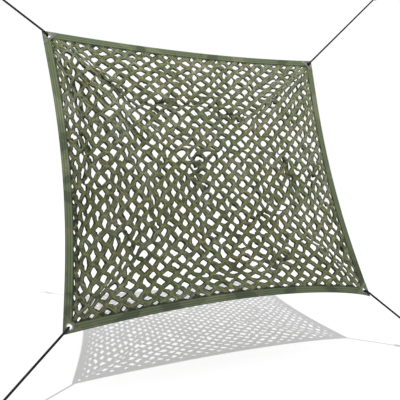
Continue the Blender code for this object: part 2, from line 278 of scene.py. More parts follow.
@dataclass
class HungSheet:
    """The net's cut size, and the way that its cloth hangs.

    seam_waves gives two sets of puckers along the seams, each by its turn a metre and its phase.
    shaded, upset and streaked say how far the dark of a trough, the tangle of a fold and a streak
    reach: aside in half widths, then past the ends, and the length over which they fade out there.
    """

    width: float = 1.5
    height: float = 1.368
    lean: float = math.radians(22.5)
    draw_in: float = 2.0
    belly: float = 0.016
    flat_rim: float = 0.04
    seam: float = 34 * MM
    seam_reach: float = 24 * MM
    seam_shade: tuple[float, float, float, float] = (1.0, 0.75, 1.15, 0.8)
    seam_waves: tuple[float, float, float, float] = (61, 1.3, 137, 0.4)
    seam_wander: float = 0.4
    shaded: tuple[float, Pair] = (0.85, (0.0, 0.2))
    upset: tuple[float, Pair] = (2.2, (0.1, 0.2))
    streaked: tuple[float, Pair] = (1.0, (0.15, 0.3))
    rise_over: float = 0.05
    eyelet_in: float = 0.0255
    left: Bow = Bow(sag=0.0444, deepest_at=0.483, fullness=1.2)
    right: Bow = Bow(sag=0.051, deepest_at=0.469, fullness=1.25)
    top: Bow = Bow(sag=0.0296, deepest_at=0.518, fullness=1.05)
    bottom: Bow = Bow(sag=0.0614, deepest_at=0.581, fullness=0.77)
    creases: tuple[Crease, ...] = (
        Crease((0.02, 0.99), (0.28, 0.7), 0.016, 0.03, 0.1),
        Crease((0.1, 0.97), (0.42, 0.56), -0.012, 0.034, 0.12, shade=0.12),
        Crease((0.98, 0.99), (0.7, 0.64), 0.018, 0.032, 0.16),
        Crease((0.88, 0.97), (0.6, 0.72), -0.012, 0.03, 0.08, shade=0.22),
        Crease((0.34, 0.74), (0.72, 0.75), 0.015, 0.028, 0.16),
        Crease((0.34, 0.58), (0.58, 0.56), 0.015, 0.028, 0.16),
        Crease((0.5, 0.82), (0.6, 0.68), -0.014, 0.03, 0.16, shade=0.4),
        Crease((0.02, 0.01), (0.24, 0.27), 0.014, 0.032, 0.08),
        Crease((0.98, 0.01), (0.74, 0.3), 0.015, 0.034, 0.08),
        Crease((0.58, 0.27), (0.8, 0.34), 0.012, 0.03, 0.08),
    )
    folds: tuple[Crease, ...] = (
        Crease((-0.14, 1.15), (0.33, 0.68), 0.005, 0.042, 0.5),
        Crease((1.14, 1.13), (0.66, 0.68), 0.005, 0.042, 0.5),
        Crease((-0.14, -0.15), (0.26, 0.26), 0.005, 0.042, 0.42),
        Crease((1.14, -0.15), (0.76, 0.26), 0.005, 0.042, 0.42),
        Crease((0.015, 0.975), (0.09, 0.865), -0.012, 0.011, 0.35, tight=0.8, shade=1.2),
        Crease((0.095, 0.845), (0.17, 0.73), -0.013, 0.01, 0.3, tight=0.9, shade=1.3),
        Crease((0.19, 0.82), (0.25, 0.73), -0.012, 0.01, 0.2, tangle=0.15, tight=0.8, shade=1.3),
        Crease((0.036, 0.88), (0.064, 0.71), -0.013, 0.012, 0.3, tangle=0.15, tight=0.8, shade=1.3),
        Crease((0.06, 0.75), (0.12, 0.61), -0.012, 0.012, 0.3, tangle=0.2, tight=0.8, shade=1.2),
        Crease((0.062, 0.83), (0.083, 0.66), -0.01, 0.01, 0.3, tight=0.6),
        Crease((0.066, 0.63), (0.092, 0.49), -0.011, 0.011, 0.25, tangle=0.25, tight=0.7, shade=1.1),
        Crease((0.195, 0.72), (0.275, 0.6), -0.011, 0.01, 0.25, tight=0.8),
        Crease((0.315, 0.76), (0.365, 0.72), -0.011, 0.011, 0.2, tangle=0.2, tight=0.4, shade=1.1),
        Crease((0.145, 0.86), (0.19, 0.8), -0.009, 0.01, 0.2, tight=0.7),
        Crease((0.21, 0.76), (0.53, 0.775), -0.013, 0.012, 0.3, tangle=0.5),
        Crease((0.5, 0.76), (0.72, 0.715), -0.013, 0.014, 0.25, tangle=0.9, shade=0.75),
        Crease((0.64, 0.7), (0.96, 0.94), 0.012, 0.018, 0.4, tangle=0.2),
        Crease((0.965, 0.94), (0.84, 0.62), -0.01, 0.014, 0.35, tangle=0.2, shade=0.45),
        Crease((0.39, 0.585), (0.6, 0.565), 0.011, 0.014, 0.45, tangle=0.3),
        Crease((0.435, 0.58), (0.465, 0.43), -0.012, 0.016, 0.3, tangle=0.8, shade=0.45),
        Crease((0.8, 0.58), (0.825, 0.42), -0.014, 0.016, 0.2, tangle=0.85, shade=0.7),
        Crease((0.86, 0.45), (0.98, 0.5), -0.011, 0.014, 0.2, tangle=0.85, shade=0.6),
        Crease((0.92, 0.62), (0.955, 0.42), 0.011, 0.016, 0.2, tangle=0.75),
        Crease((0.6, 0.3), (0.78, 0.335), -0.011, 0.014, 0.3, tangle=0.5, shade=0.65),
        Crease((0.62, 0.33), (0.63, 0.12), 0.009, 0.014, 0.2, tangle=0.45),
        Crease((0.6, 0.125), (0.76, 0.135), -0.01, 0.014, 0.25, tangle=0.45, shade=0.6),
        Crease((0.155, 0.34), (0.215, 0.19), -0.013, 0.012, 0.25, tangle=0.6, shade=0.8),
        Crease((0.05, 0.68), (0.045, 0.34), 0.009, 0.018, 0.1, tangle=0.95),
        Crease((0.033, 0.48), (0.04, 0.02), -0.011, 0.012, 0.1, tangle=0.95, shade=0.9),
        Crease((0.2, 0.955), (0.44, 0.95), -0.008, 0.012, 0.1, tangle=0.55, shade=0.4),
        Crease((0.95, 0.42), (0.965, 0.12), -0.009, 0.014, 0.1, tangle=0.7, shade=0.55),
    )
    # painted highlights along lit crests have a gain above 0, and painted shade along folds has a gain below
    streaks: tuple[Streak, ...] = (
        Streak((0.11, 0.845), (0.335, 0.625), 0.025, 0.46),
        Streak((0.07, 0.935), (0.22, 0.845), 0.026, 0.36),
        Streak((0.28, 0.935), (0.365, 0.8), 0.03, 0.28),
        Streak((0.42, 0.685), (0.505, 0.71), 0.025, 0.26),
        Streak((0.6, 0.9), (0.726, 0.857), 0.04, 0.12),
        Streak((0.684, 0.215), (0.8, 0.124), 0.03, 0.22),
        Streak((0.82, 0.5), (0.885, 0.513), 0.03, 0.16),
        Streak((0.08, 0.835), (0.165, 0.615), 0.014, -0.6),
        Streak((0.175, 0.83), (0.29, 0.71), 0.013, -0.6),
        Streak((0.29, 0.75), (0.4, 0.715), 0.018, -0.35),
        Streak((0.44, 0.738), (0.6, 0.735), 0.015, -0.3),
        Streak((0.11, 0.513), (0.18, 0.433), 0.022, -0.25),
        Streak((0.526, 0.284), (0.568, 0.215), 0.04, -0.25),
        Streak((0.495, 0.112), (0.558, 0.1), 0.035, -0.28),
        Streak((0.19, 0.204), (0.263, 0.17), 0.035, -0.25),
        Streak((0.49, 0.405), (0.52, 0.36), 0.016, -0.3),
        Streak((0.63, 0.295), (0.695, 0.32), 0.025, -0.2),
        Streak((0.463, 0.536), (0.558, 0.5), 0.035, -0.14),
        Streak((0.63, 0.17), (0.674, 0.112), 0.018, -0.22),
        Streak((0.726, 0.55), (0.8, 0.56), 0.018, -0.18),
        Streak((0.815, 0.465), (0.845, 0.44), 0.015, -0.25),
    )
    tugs: tuple[Tug, ...] = (
        Tug(0.22, 0.42, 90, 0.22), Tug(0.42, 0.42, 94, 0.28), Tug(0.42, 0.22, 98, 0.14),
        Tug(0.22, 0.24, 80, 0.16), Tug(0.22, 0.62, 88, 0.12), Tug(0.75, 0.42, 97, 0.2),
        Tug(0.95, 0.4, 88, 0.2), Tug(0.75, 0.22, 110, 0.18), Tug(0.93, 0.75, 62, 0.22),
        Tug(0.9, 0.93, 18, 0.2, reach=0.1), Tug(0.6, 0.93, 80, 0.12), Tug(0.35, 0.78, 158, 0.09),
        Tug(0.2, 0.93, 172, 0.1, reach=0.1), Tug(0.45, 0.06, 163, 0.22),
        Tug(0.62, 0.05, 173, 0.18, reach=0.1), Tug(0.1, 0.1, 140, 0.15, reach=0.1),
    )

    def crease_line(self, crease: Crease | Streak) -> tuple[Array, Array, Array, float]:
        """Where a crease runs on the flat sheet.

        Args:
            crease: the crease or streak.

        Returns:
            Its start, the directions along and aside of it, and its length.
        """
        size = np.array([self.width, self.height])
        start = np.array(crease.start) * size
        run = np.array(crease.end) * size - start
        length = float(np.linalg.norm(run))
        run = run / length
        return start, run, np.array([-run[1], run[0]]), length

    def crease_place(self, crease: Crease | Streak, x: Array, y: Array) -> tuple[Array, Array]:
        """Where flat points lie against a crease.

        Args:
            crease: the crease or streak.
            x: the distance across.
            y: the distance up.

        Returns:
            The fraction along it, and the distance aside.
        """
        start, run, aside, length = self.crease_line(crease)
        fraction = ((x - start[0]) * run[0] + (y - start[1]) * run[1]) / length
        return fraction, (x - start[0]) * aside[0] + (y - start[1]) * aside[1]

    def band(self, crease: Crease | Streak, amount: float, widths: float, ends: Pair,
             x: Array, y: Array) -> Array:
        """An amount that fades out from a crease at flat points.

        Args:
            crease: the crease or streak.
            amount: the amount on the crease.
            widths: how far aside it reaches, in half widths of the crease.
            ends: how far past the crease's ends it reaches, and over how far it fades out there,
                as fractions of the crease's length.
            x: the distance across.
            y: the distance up.

        Returns:
            The amount at each point.
        """
        fraction, offset = self.crease_place(crease, x, y)
        past, fade = ends
        along = smooth_step(np.minimum(fraction + past, 1 + past - fraction) / fade)
        return amount * along * np.exp(-(offset / (widths * crease.half_width)) ** 2)

    def rise_in(self, x: Array, y: Array) -> Array:
        """How much of the sheet's relief shows, from none in the binding to all inside it."""
        to_edge = np.minimum(np.minimum(x, self.width - x), np.minimum(y, self.height - y))
        return smooth_step((to_edge - self.flat_rim) / self.rise_over)

    def relief(self, x: Array, y: Array) -> Array:
        """The belly and the creases of the sheet.

        Args:
            x: the distance across.
            y: the distance up.

        Returns:
            The sheet's height at each point.
        """
        total = -self.belly * np.sin(np.pi * x / self.width) * np.sin(np.pi * y / self.height)
        for crease in self.creases + self.folds:
            fraction, offset = self.crease_place(crease, x, y)
            along = np.where((fraction > 0) & (fraction < 1), np.sin(np.pi * fraction), 0.0)
            total = total + crease.rise * along * np.exp(-(offset / crease.half_width) ** 2)
        return self.rise_in(x, y) * total

    def painted_shade(self, x: Array, y: Array) -> Array:
        """How much painted shade the cloth gets, in its troughs and along its seams.

        Args:
            x: the distance across.
            y: the distance up.

        Returns:
            The painted shade at each point, from 0 to 1 or a little over.
        """
        most = np.zeros(np.shape(x))
        for crease in self.creases + self.folds:
            if crease.rise < 0 and crease.tight == 0:
                most = np.maximum(most, self.band(crease, crease.shade, *self.shaded, x, y))
        # painted shadow along the seams, where the tapes meet the cloth
        long_turn, long_start, short_turn, short_start = self.seam_waves
        puckers = np.sin(long_turn * (x + y) + long_start) + np.sin(short_turn * (x - y) + short_start)
        reach = self.seam_reach * (1 + self.seam_wander * puckers)
        for shade, distance in zip(self.seam_shade, (x, self.width - x, y, self.height - y)):
            most = np.maximum(most, shade * (1 - smooth_step((distance - self.seam) / reach)))
        return most

    def tone(self, x: Array, y: Array) -> Array:
        """How much the painted highlights and shade of the cloth's streaks lighten and darken it at flat
        points.
        """
        return sum(self.band(streak, streak.gain, *self.streaked, x, y) for streak in self.streaks)

    def tangle(self, x: Array, y: Array) -> Array:
        """How upset the strands are.

        Args:
            x: the distance across.
            y: the distance up.

        Returns:
            The tangle at each point, from 0 to 1.
        """
        most = np.zeros(np.shape(x))
        for crease in self.folds:
            most = np.maximum(most, self.band(crease, crease.tangle, *self.upset, x, y))
        return most

    def hang(self, x: Array, y: Array) -> tuple[Array, Array]:
        """Moves flat points in with the bowed edges.

        Args:
            x: the distance across.
            y: the distance up.

        Returns:
            The same two distances on the hung sheet.
        """
        across = x / self.width
        up = y / self.height
        hung_x = (x + self.left.depth(up) * (1 - across) ** self.draw_in
                  - self.right.depth(up) * across ** self.draw_in)
        hung_y = (y + self.bottom.depth(across) * (1 - up) ** self.draw_in
                  - self.top.depth(across) * up ** self.draw_in)
        return hung_x, hung_y

    @property
    def placing(self) -> Matrix:
        """Leans the hung sheet back and puts the middle of its top edge at the origin."""
        middle = np.array(self.hang(np.array(self.width / 2), np.array(self.height)))
        return Matrix.Rotation(math.pi / 2 - self.lean, 4, "X") @ Matrix.Translation((*-middle, 0.0))

    def place(self, hung: Array) -> Array:
        """Takes (n, 3) points of the hung sheet to the frame of the solids."""
        matrix = np.array(self.placing)
        return hung @ matrix[:3, :3].T + matrix[:3, 3]

    def place_flat(self, flat: Array) -> Array:
        """Hangs (n, 3) points of the flat cloth and takes them to the frame of the solids."""
        x, y = self.hang(flat[:, 0], flat[:, 1])
        return self.place(np.column_stack([x, y, flat[:, 2]]))

    def corner_point(self, corner: Corner, inward_x: float, inward_y: float) -> Pair:
        """A flat point by its distances in from the two edges of a corner.

        Args:
            corner: the corner.
            inward_x: the distance in from the upright edge.
            inward_y: the distance in from the level edge.

        Returns:
            The distances across and up the sheet.
        """
        right, top, _ = corner.value
        x = self.width - inward_x if right else inward_x
        y = self.height - inward_y if top else inward_y
        return x, y

    def eyelet_centre(self, corner: Corner) -> Vector:
        """The middle of a corner's eyelet on the hung sheet."""
        flat = np.array(self.corner_point(corner, self.eyelet_in, self.eyelet_in))
        return Vector((*self.hang(*flat), 0.0))


# ---- finishes

# nearly all of a noise's levels lie between these two
NOISE = (0.3, 0.7)
# at a scale of one, the bands of a wave texture are this many millimetres apart
WAVE = 314


def start_material(name: str, lean: float | None = None) -> tuple[Material, NodeSocket]:
    """Makes a material with one shader, and the place that its patterns are laid out by.

    Args:
        name: the finish's name.
        lean: how far the sheet leans back, for a pattern that lies square to the sheet's edges.

    Returns:
        The material, and the output that gives a point's place, in metres.
    """
    material = bpy.data.materials.new(name)
    material.use_nodes = True
    place = add_node(material.node_tree, "TexCoord").outputs["Object"]
    if lean is not None:
        place = add_node(material.node_tree, "Mapping", {
            "Vector": place, "Rotation": (lean - math.pi / 2, 0.0, 0.0)}).outputs["Vector"]
    return material, place


@dataclass(frozen=True)
class PrintedCloth:
    """Polyester cloth, woven in thick flat yarns and printed in a woodland camouflage.

    The print's patches have soft edges, and the yarns give a matt, slightly furry surface. Each
    strand has a painted highlight along its two ridges, and painted shade in the pleat between them,
    on its flanks and at its lips. The folds and seams have painted shade too, painted streaks lighten
    crests and darken folds, dye lots make it uneven, and painted light makes the cloth lighter
    towards the top, and a little towards the right.
    """

    name: str = "printed_polyester_cloth"
    olive: str = "656a45"
    pale: str = "7b7e63"
    dark: str = "475337"
    brown: str = "63583f"
    # painted shade at the holes' lips
    lip: str = "33342b"
    # painted shade in the folds, along tight creases and along the seams
    fresh: str = "20271a"
    patch_mm: float = 150.0
    blot_mm: float = 45.0
    rust_mm: float = 120.0
    fading_mm: float = 22.0
    fading_shift: Pair = (-0.2, 0.2)
    # how patchy, how strong and how much of the painted shade in the folds shows
    painted_shade_patches: Pair = (0.35, 1.35)
    painted_shade_levels: Pair = (0.38, 0.8)
    painted_shade_share: float = 0.9
    lip_levels: Pair = (0.65, 1.0)
    lip_share: float = 0.6
    mottle_mm: float = 14.0
    mottle: Pair = (0.55, 1.45)
    dye_mm: float = 95.0
    dye: Triple = (0.31, 0.0, 0.54)
    # the tint of the painted streaks
    streak: Triple = (1.0, 0.96, 1.2)
    # painted light: the colour is multiplied by these levels, lighter towards the right and the top
    left_level: Triple = (0.45, 0.449, 0.441)
    right_level: Triple = (0.565, 0.564, 0.553)
    high_level: Triple = (0.855, 0.848, 0.946)
    side_reach: float = 0.6
    painted_light_way: Triple = (0.16, 1.0, 0.0)
    painted_light_span: Pair = (-0.9, 0.05)
    yarn_mm: float = 3.0
    yarn_depth: float = 0.4 * MM
    # the painted shade and highlight across a strand: each lip share, with the level that the colour is
    # multiplied by
    across: tuple[Pair, ...] = (
        (0.0, 0.8), (0.14, 0.66), (0.32, 1.42), (0.56, 1.36), (0.74, 0.42), (1.0, 0.26), (1.25, 0.08),
        (1.4, 0.06))
    roughness: float = 0.88

    def build(self, lean: float) -> Material:
        """Makes the material.

        Args:
            lean: how far the sheet leans back.

        Returns:
            The material.
        """
        material, place = start_material(self.name, lean)
        tree = material.node_tree
        broad, blots, fading, grain = [
            add_node(tree, "TexNoise", {"Vector": place, "Scale": 1000 / size_mm, "Detail": detail,
                                        "Roughness": roughness})
            for size_mm, detail, roughness in ((self.patch_mm, 3.0, 0.55), (self.blot_mm, 3.0, 0.6),
                                               (self.fading_mm, 1.5, 0.5), (self.mottle_mm, 3.0, 0.6))]
        fill(broad, {"Distortion": 0.8})
        rust, lots = [add_node(tree, "TexNoise", {"Vector": place, "Scale": 1000 / size_mm, "Detail": 2.0,
                                                  "W": seed}, noise_dimensions="4D")
                      for size_mm, seed in ((self.rust_mm, 3.7), (self.dye_mm, 6.1))]
        colour = linear(self.olive)
        for shade, pattern, levels, share in ((self.pale, broad, (0.45, 0.6), 0.65),
                                              (self.dark, blots, (0.52, 0.66), 0.75),
                                              (self.brown, rust, (0.66, 0.72), 0.6)):
            mask = add_node(tree, "MapRange", {0: pattern, (1, 2): levels, 4: share})
            colour = add_node(tree, "Mix", {0: mask, 6: colour, 7: linear(shade)}, data_type="RGBA")
        # painted shade and highlight across each strand, from its middle's pleat to its lip: shade in the
        # pleat and on the flanks, a highlight on the ridges, and near-black painted shadow past the lip in
        # the pockets
        shift = add_node(tree, "MapRange", {0: fading, (1, 2): NOISE, (3, 4): self.fading_shift})
        lip = add_node(tree, "Attribute", attribute_name="lip").outputs["Fac"]
        warped = add_node(tree, "Math", {0: lip, 1: shift}, operation="ADD")
        widest = self.across[-1][0]
        scaled = add_node(tree, "Math", {0: warped, 1: widest}, operation="DIVIDE")
        across = add_node(tree, "ValToRGB", {"Fac": scaled})
        elements = across.color_ramp.elements
        elements.remove(elements[1])
        for number, (position, level) in enumerate(self.across):
            element = elements.new(position / widest) if number else elements[0]
            element.color = (level, level, level, 1.0)
        shaded_strands = add_node(tree, "VectorMath", {0: colour, 1: across}, operation="MULTIPLY")
        # painted shade at the lips, and painted shade in the folds and along the seams
        at_lip = add_node(tree, "MapRange", {0: lip, (1, 2): self.lip_levels, 4: self.lip_share})
        mixed_colour = add_node(tree, "Mix", {0: at_lip, 6: shaded_strands, 7: linear(self.lip)}, data_type="RGBA")
        # painted shade in the folds, along tight creases and along the seams, in patches
        painted_shade = add_node(tree, "Attribute", attribute_name="painted_shade").outputs["Fac"]
        patchy = add_node(tree, "MapRange", {0: fading, (1, 2): (0.35, 0.65), (3, 4): self.painted_shade_patches})
        patchy_painted_shade = add_node(tree, "Math", {0: painted_shade, 1: patchy}, operation="MULTIPLY")
        in_fold = add_node(tree, "MapRange", {0: patchy_painted_shade, (1, 2): self.painted_shade_levels, 4: self.painted_shade_share})
        colour = add_node(tree, "Mix", {0: in_fold, 6: mixed_colour, 7: linear(self.fresh)}, data_type="RGBA")
        # what makes the whole cloth uneven: dye lots and mottling, then painted streaks, and painted light
        # that makes it lighter towards the top and a little towards the right
        dye = add_node(tree, "VectorMath", {0: lots.outputs["Color"], 1: self.dye,
                                            2: [1 - amount / 2 for amount in self.dye]},
                       operation="MULTIPLY_ADD")
        mottle = add_node(tree, "MapRange", {0: grain, (1, 2): NOISE, (3, 4): self.mottle})
        tone = add_node(tree, "Attribute", attribute_name="tone").outputs["Vector"]
        streaks = add_node(tree, "VectorMath", {0: tone, 1: self.streak, 2: (1.0, 1.0, 1.0)},
                           operation="MULTIPLY_ADD")
        side = add_node(tree, "SeparateXYZ", {0: place}).outputs["X"]
        sides = add_node(tree, "CombineXYZ", {(0, 1, 2): [side] * 3})
        reach = [self.side_reach] * 3
        low = add_node(tree, "MapRange", {6: sides, 7: [-part for part in reach], 8: reach,
                                          (9, 10): (self.left_level, self.right_level)},
                       data_type="FLOAT_VECTOR")
        up = add_node(tree, "VectorMath", {0: place, 1: self.painted_light_way}, operation="DOT_PRODUCT")
        height = add_node(tree, "MapRange", {0: up, (1, 2): self.painted_light_span})
        painted_light = add_node(tree, "Mix", {0: height, 4: low, 5: self.high_level}, data_type="VECTOR")
        for factor in (dye, mottle, streaks, painted_light):
            colour = add_node(tree, "VectorMath", {0: colour, 1: factor}, operation="MULTIPLY")
        yarns = add_node(tree, "TexWave", {"Vector": place, "Scale": WAVE / self.yarn_mm,
                                           "Distortion": 1.5, "Detail": 2.0}).outputs["Fac"]
        bump = add_node(tree, "Bump", {"Height": yarns, "Strength": 0.25, "Distance": self.yarn_depth})
        fill(tree.nodes["Principled BSDF"], {
            "Base Color": colour, "Normal": bump, "Roughness": self.roughness, "Sheen Weight": 0.12,
            "Specular IOR Level": 0.25})
        return material


@dataclass(frozen=True)
class WovenTape:
    """Polyester binding tape, woven narrow and printed to match.

    It has ribs along its length, a painted highlight on them and painted shade in the grooves between
    them and on its fold, and a painted shadow along its inner edge. As on the cloth, painted light makes
    it lighter towards the top. Its large blots lie where each tape's print attribute is high, for dark
    ones, or low, for pale ones.
    """

    name: str = "woven_polyester_tape"
    green: str = "4c583e"
    olive: str = "5a5f44"
    dark: str = "38422e"
    brown: str = "665d49"
    pale: str = "64684e"
    patch_mm: float = 130.0
    blot_mm: float = 75.0
    edge_mm: float = 30.0
    edge_shift: Pair = (-0.45, 0.45)
    blot_share: float = 0.8
    print_share: float = 0.85
    # painted shade: a highlight on the ribs, shade in the grooves and on the fold, and shadow along the inner
    # edge
    groove_shade_levels: Pair = (1.12, 0.25)
    # painted light: lighter towards the top, darker towards the bottom
    painted_light_levels: Pair = (0.72, 1.25)
    painted_light_span: Pair = (-1.36, -0.1)
    roughness: float = 0.72

    def build(self, lean: float) -> Material:
        """Makes the material.

        Args:
            lean: how far the sheet leans back.

        Returns:
            The material.
        """
        material, place = start_material(self.name, lean)
        tree = material.node_tree
        broad = add_node(tree, "TexNoise", {"Vector": place, "Scale": 1000 / self.patch_mm, "Detail": 3.0,
                                            "Distortion": 0.6})
        share = add_node(tree, "MapRange", {0: broad, 1: 0.36, 2: 0.50, 3: 0.25, 4: 0.85})
        colour = add_node(tree, "Mix", {0: share, (6, 7): (linear(self.olive), linear(self.green))},
                          data_type="RGBA")
        layers = []
        for shade, seed, levels in ((self.dark, 2.3, (0.66, 0.72)), (self.brown, 8.1, (0.66, 0.7))):
            blots = add_node(tree, "TexNoise", {"Vector": place, "Scale": 1000 / self.blot_mm,
                                                "Detail": 2.0, "W": seed}, noise_dimensions="4D")
            layers.append((shade, blots, levels, self.blot_share))
        large = add_node(tree, "Attribute", attribute_name="print").outputs["Fac"]
        rough = add_node(tree, "TexNoise", {"Vector": place, "Scale": 1000 / self.edge_mm, "Detail": 3.0})
        shift = add_node(tree, "MapRange", {0: rough, (1, 2): NOISE, (3, 4): self.edge_shift})
        warped = add_node(tree, "Math", {0: large, 1: shift}, operation="ADD")
        layers += [(self.dark, warped, (0.3, 0.8), self.print_share),
                   (self.pale, warped, (-0.3, -0.8), self.print_share)]
        for shade, pattern, levels, amount in layers:
            mask = add_node(tree, "MapRange", {0: pattern, (1, 2): levels, 4: amount})
            colour = add_node(tree, "Mix", {0: mask, 6: colour, 7: linear(shade)}, data_type="RGBA")
        # painted shade in the grooves and on the fold, painted shadow along the inner edge, and a highlight
        # on the ribs
        groove = add_node(tree, "Attribute", attribute_name="groove").outputs["Fac"]
        groove_shaded = add_node(tree, "MapRange", {0: groove, (3, 4): self.groove_shade_levels})
        # painted light, lighter towards the top
        up = add_node(tree, "SeparateXYZ", {0: place}).outputs["Y"]
        painted_light = add_node(tree, "MapRange", {0: up, (1, 2): self.painted_light_span, (3, 4): self.painted_light_levels})
        for factor in (groove_shaded, painted_light):
            colour = add_node(tree, "VectorMath", {0: colour, 1: factor}, operation="MULTIPLY")
        fill(tree.nodes["Principled BSDF"], {"Base Color": colour, "Roughness": self.roughness,
                                             "Specular IOR Level": 0.3})
        return material


@dataclass(frozen=True)
class PressedAluminium:
    """Aluminium, pressed and barrel polished, with a soft haze and fine handling marks.

    The flange has gone dull and grey in the weather, and its groove is darker. The rope keeps the
    barrel bright, where the eyelet's rubbed attribute is high.
    """

    name: str = "polished_aluminium"
    bright: str = "a2a4a1"
    dull: str = "7a7c78"
    mark_mm: float = 10 / 9
    haze: Pair = (0.34, 0.54)
    blotch_mm: float = 6.25
    blotch_shift: Pair = (-0.2, 0.2)

    def build(self) -> Material:
        """Makes the material.

        Returns:
            The material.
        """
        material, place = start_material(self.name)
        tree = material.node_tree
        haze, shift = [
            add_node(tree, "MapRange", {0: add_node(tree, "TexNoise", {
                "Vector": place, "Scale": 1000 / size_mm, "Detail": detail}), (1, 2): NOISE, (3, 4): levels})
            for size_mm, detail, levels in ((self.mark_mm, 4.0, self.haze),
                                            (self.blotch_mm, 2.0, self.blotch_shift))]
        rubbed = add_node(tree, "Attribute", attribute_name="rubbed").outputs["Fac"]
        share = add_node(tree, "Math", {0: rubbed, 1: shift}, operation="ADD", use_clamp=True)
        mixed_colour = add_node(tree, "Mix", {0: share, (6, 7): (linear(self.dull), linear(self.bright))},
                        data_type="RGBA")
        fill(tree.nodes["Principled BSDF"], {"Base Color": mixed_colour, "Roughness": haze, "Metallic": 1.0})
        return material


@dataclass(frozen=True)
class BraidedCord:
    """Polypropylene cord, dyed black and braided: smooth strands with a dull shine and some dust."""

    name: str = "braided_polypropylene"
    strand: str = "050505"
    dusty: str = "0d0d0c"
    dust_mm: float = 50 / 11
    roughness: float = 0.6

    def build(self) -> Material:
        """Makes the material.

        Returns:
            The material.
        """
        material, place = start_material(self.name)
        tree = material.node_tree
        dust = add_node(tree, "TexNoise", {"Vector": place, "Scale": 1000 / self.dust_mm, "Detail": 3.0})
        mix = add_node(tree, "Mix", {0: dust, (6, 7): (linear(self.strand), linear(self.dusty))},
                       data_type="RGBA")
        fill(tree.nodes["Principled BSDF"], {"Base Color": mix, "Roughness": self.roughness,
                                             "Specular IOR Level": 0.2})
        return material


@dataclass(frozen=True)
class PaleFloor:
    """A matt, painted studio floor."""

    name: str = "matt_studio_floor"
    colour: str = "e6e6e6"
    roughness: float = 0.95

    def build(self) -> Material:
        """Makes the material.

        Returns:
            The material.
        """
        material, _ = start_material(self.name)
        fill(material.node_tree.nodes["Principled BSDF"], {
            "Base Color": linear(self.colour), "Roughness": self.roughness, "Specular IOR Level": 0.0})
        return material


# ---- the mesh panel

def doubled(angle: float) -> complex:
    """A direction as a doubled turn, in which opposite ways count as one."""
    return np.exp(2j * angle)


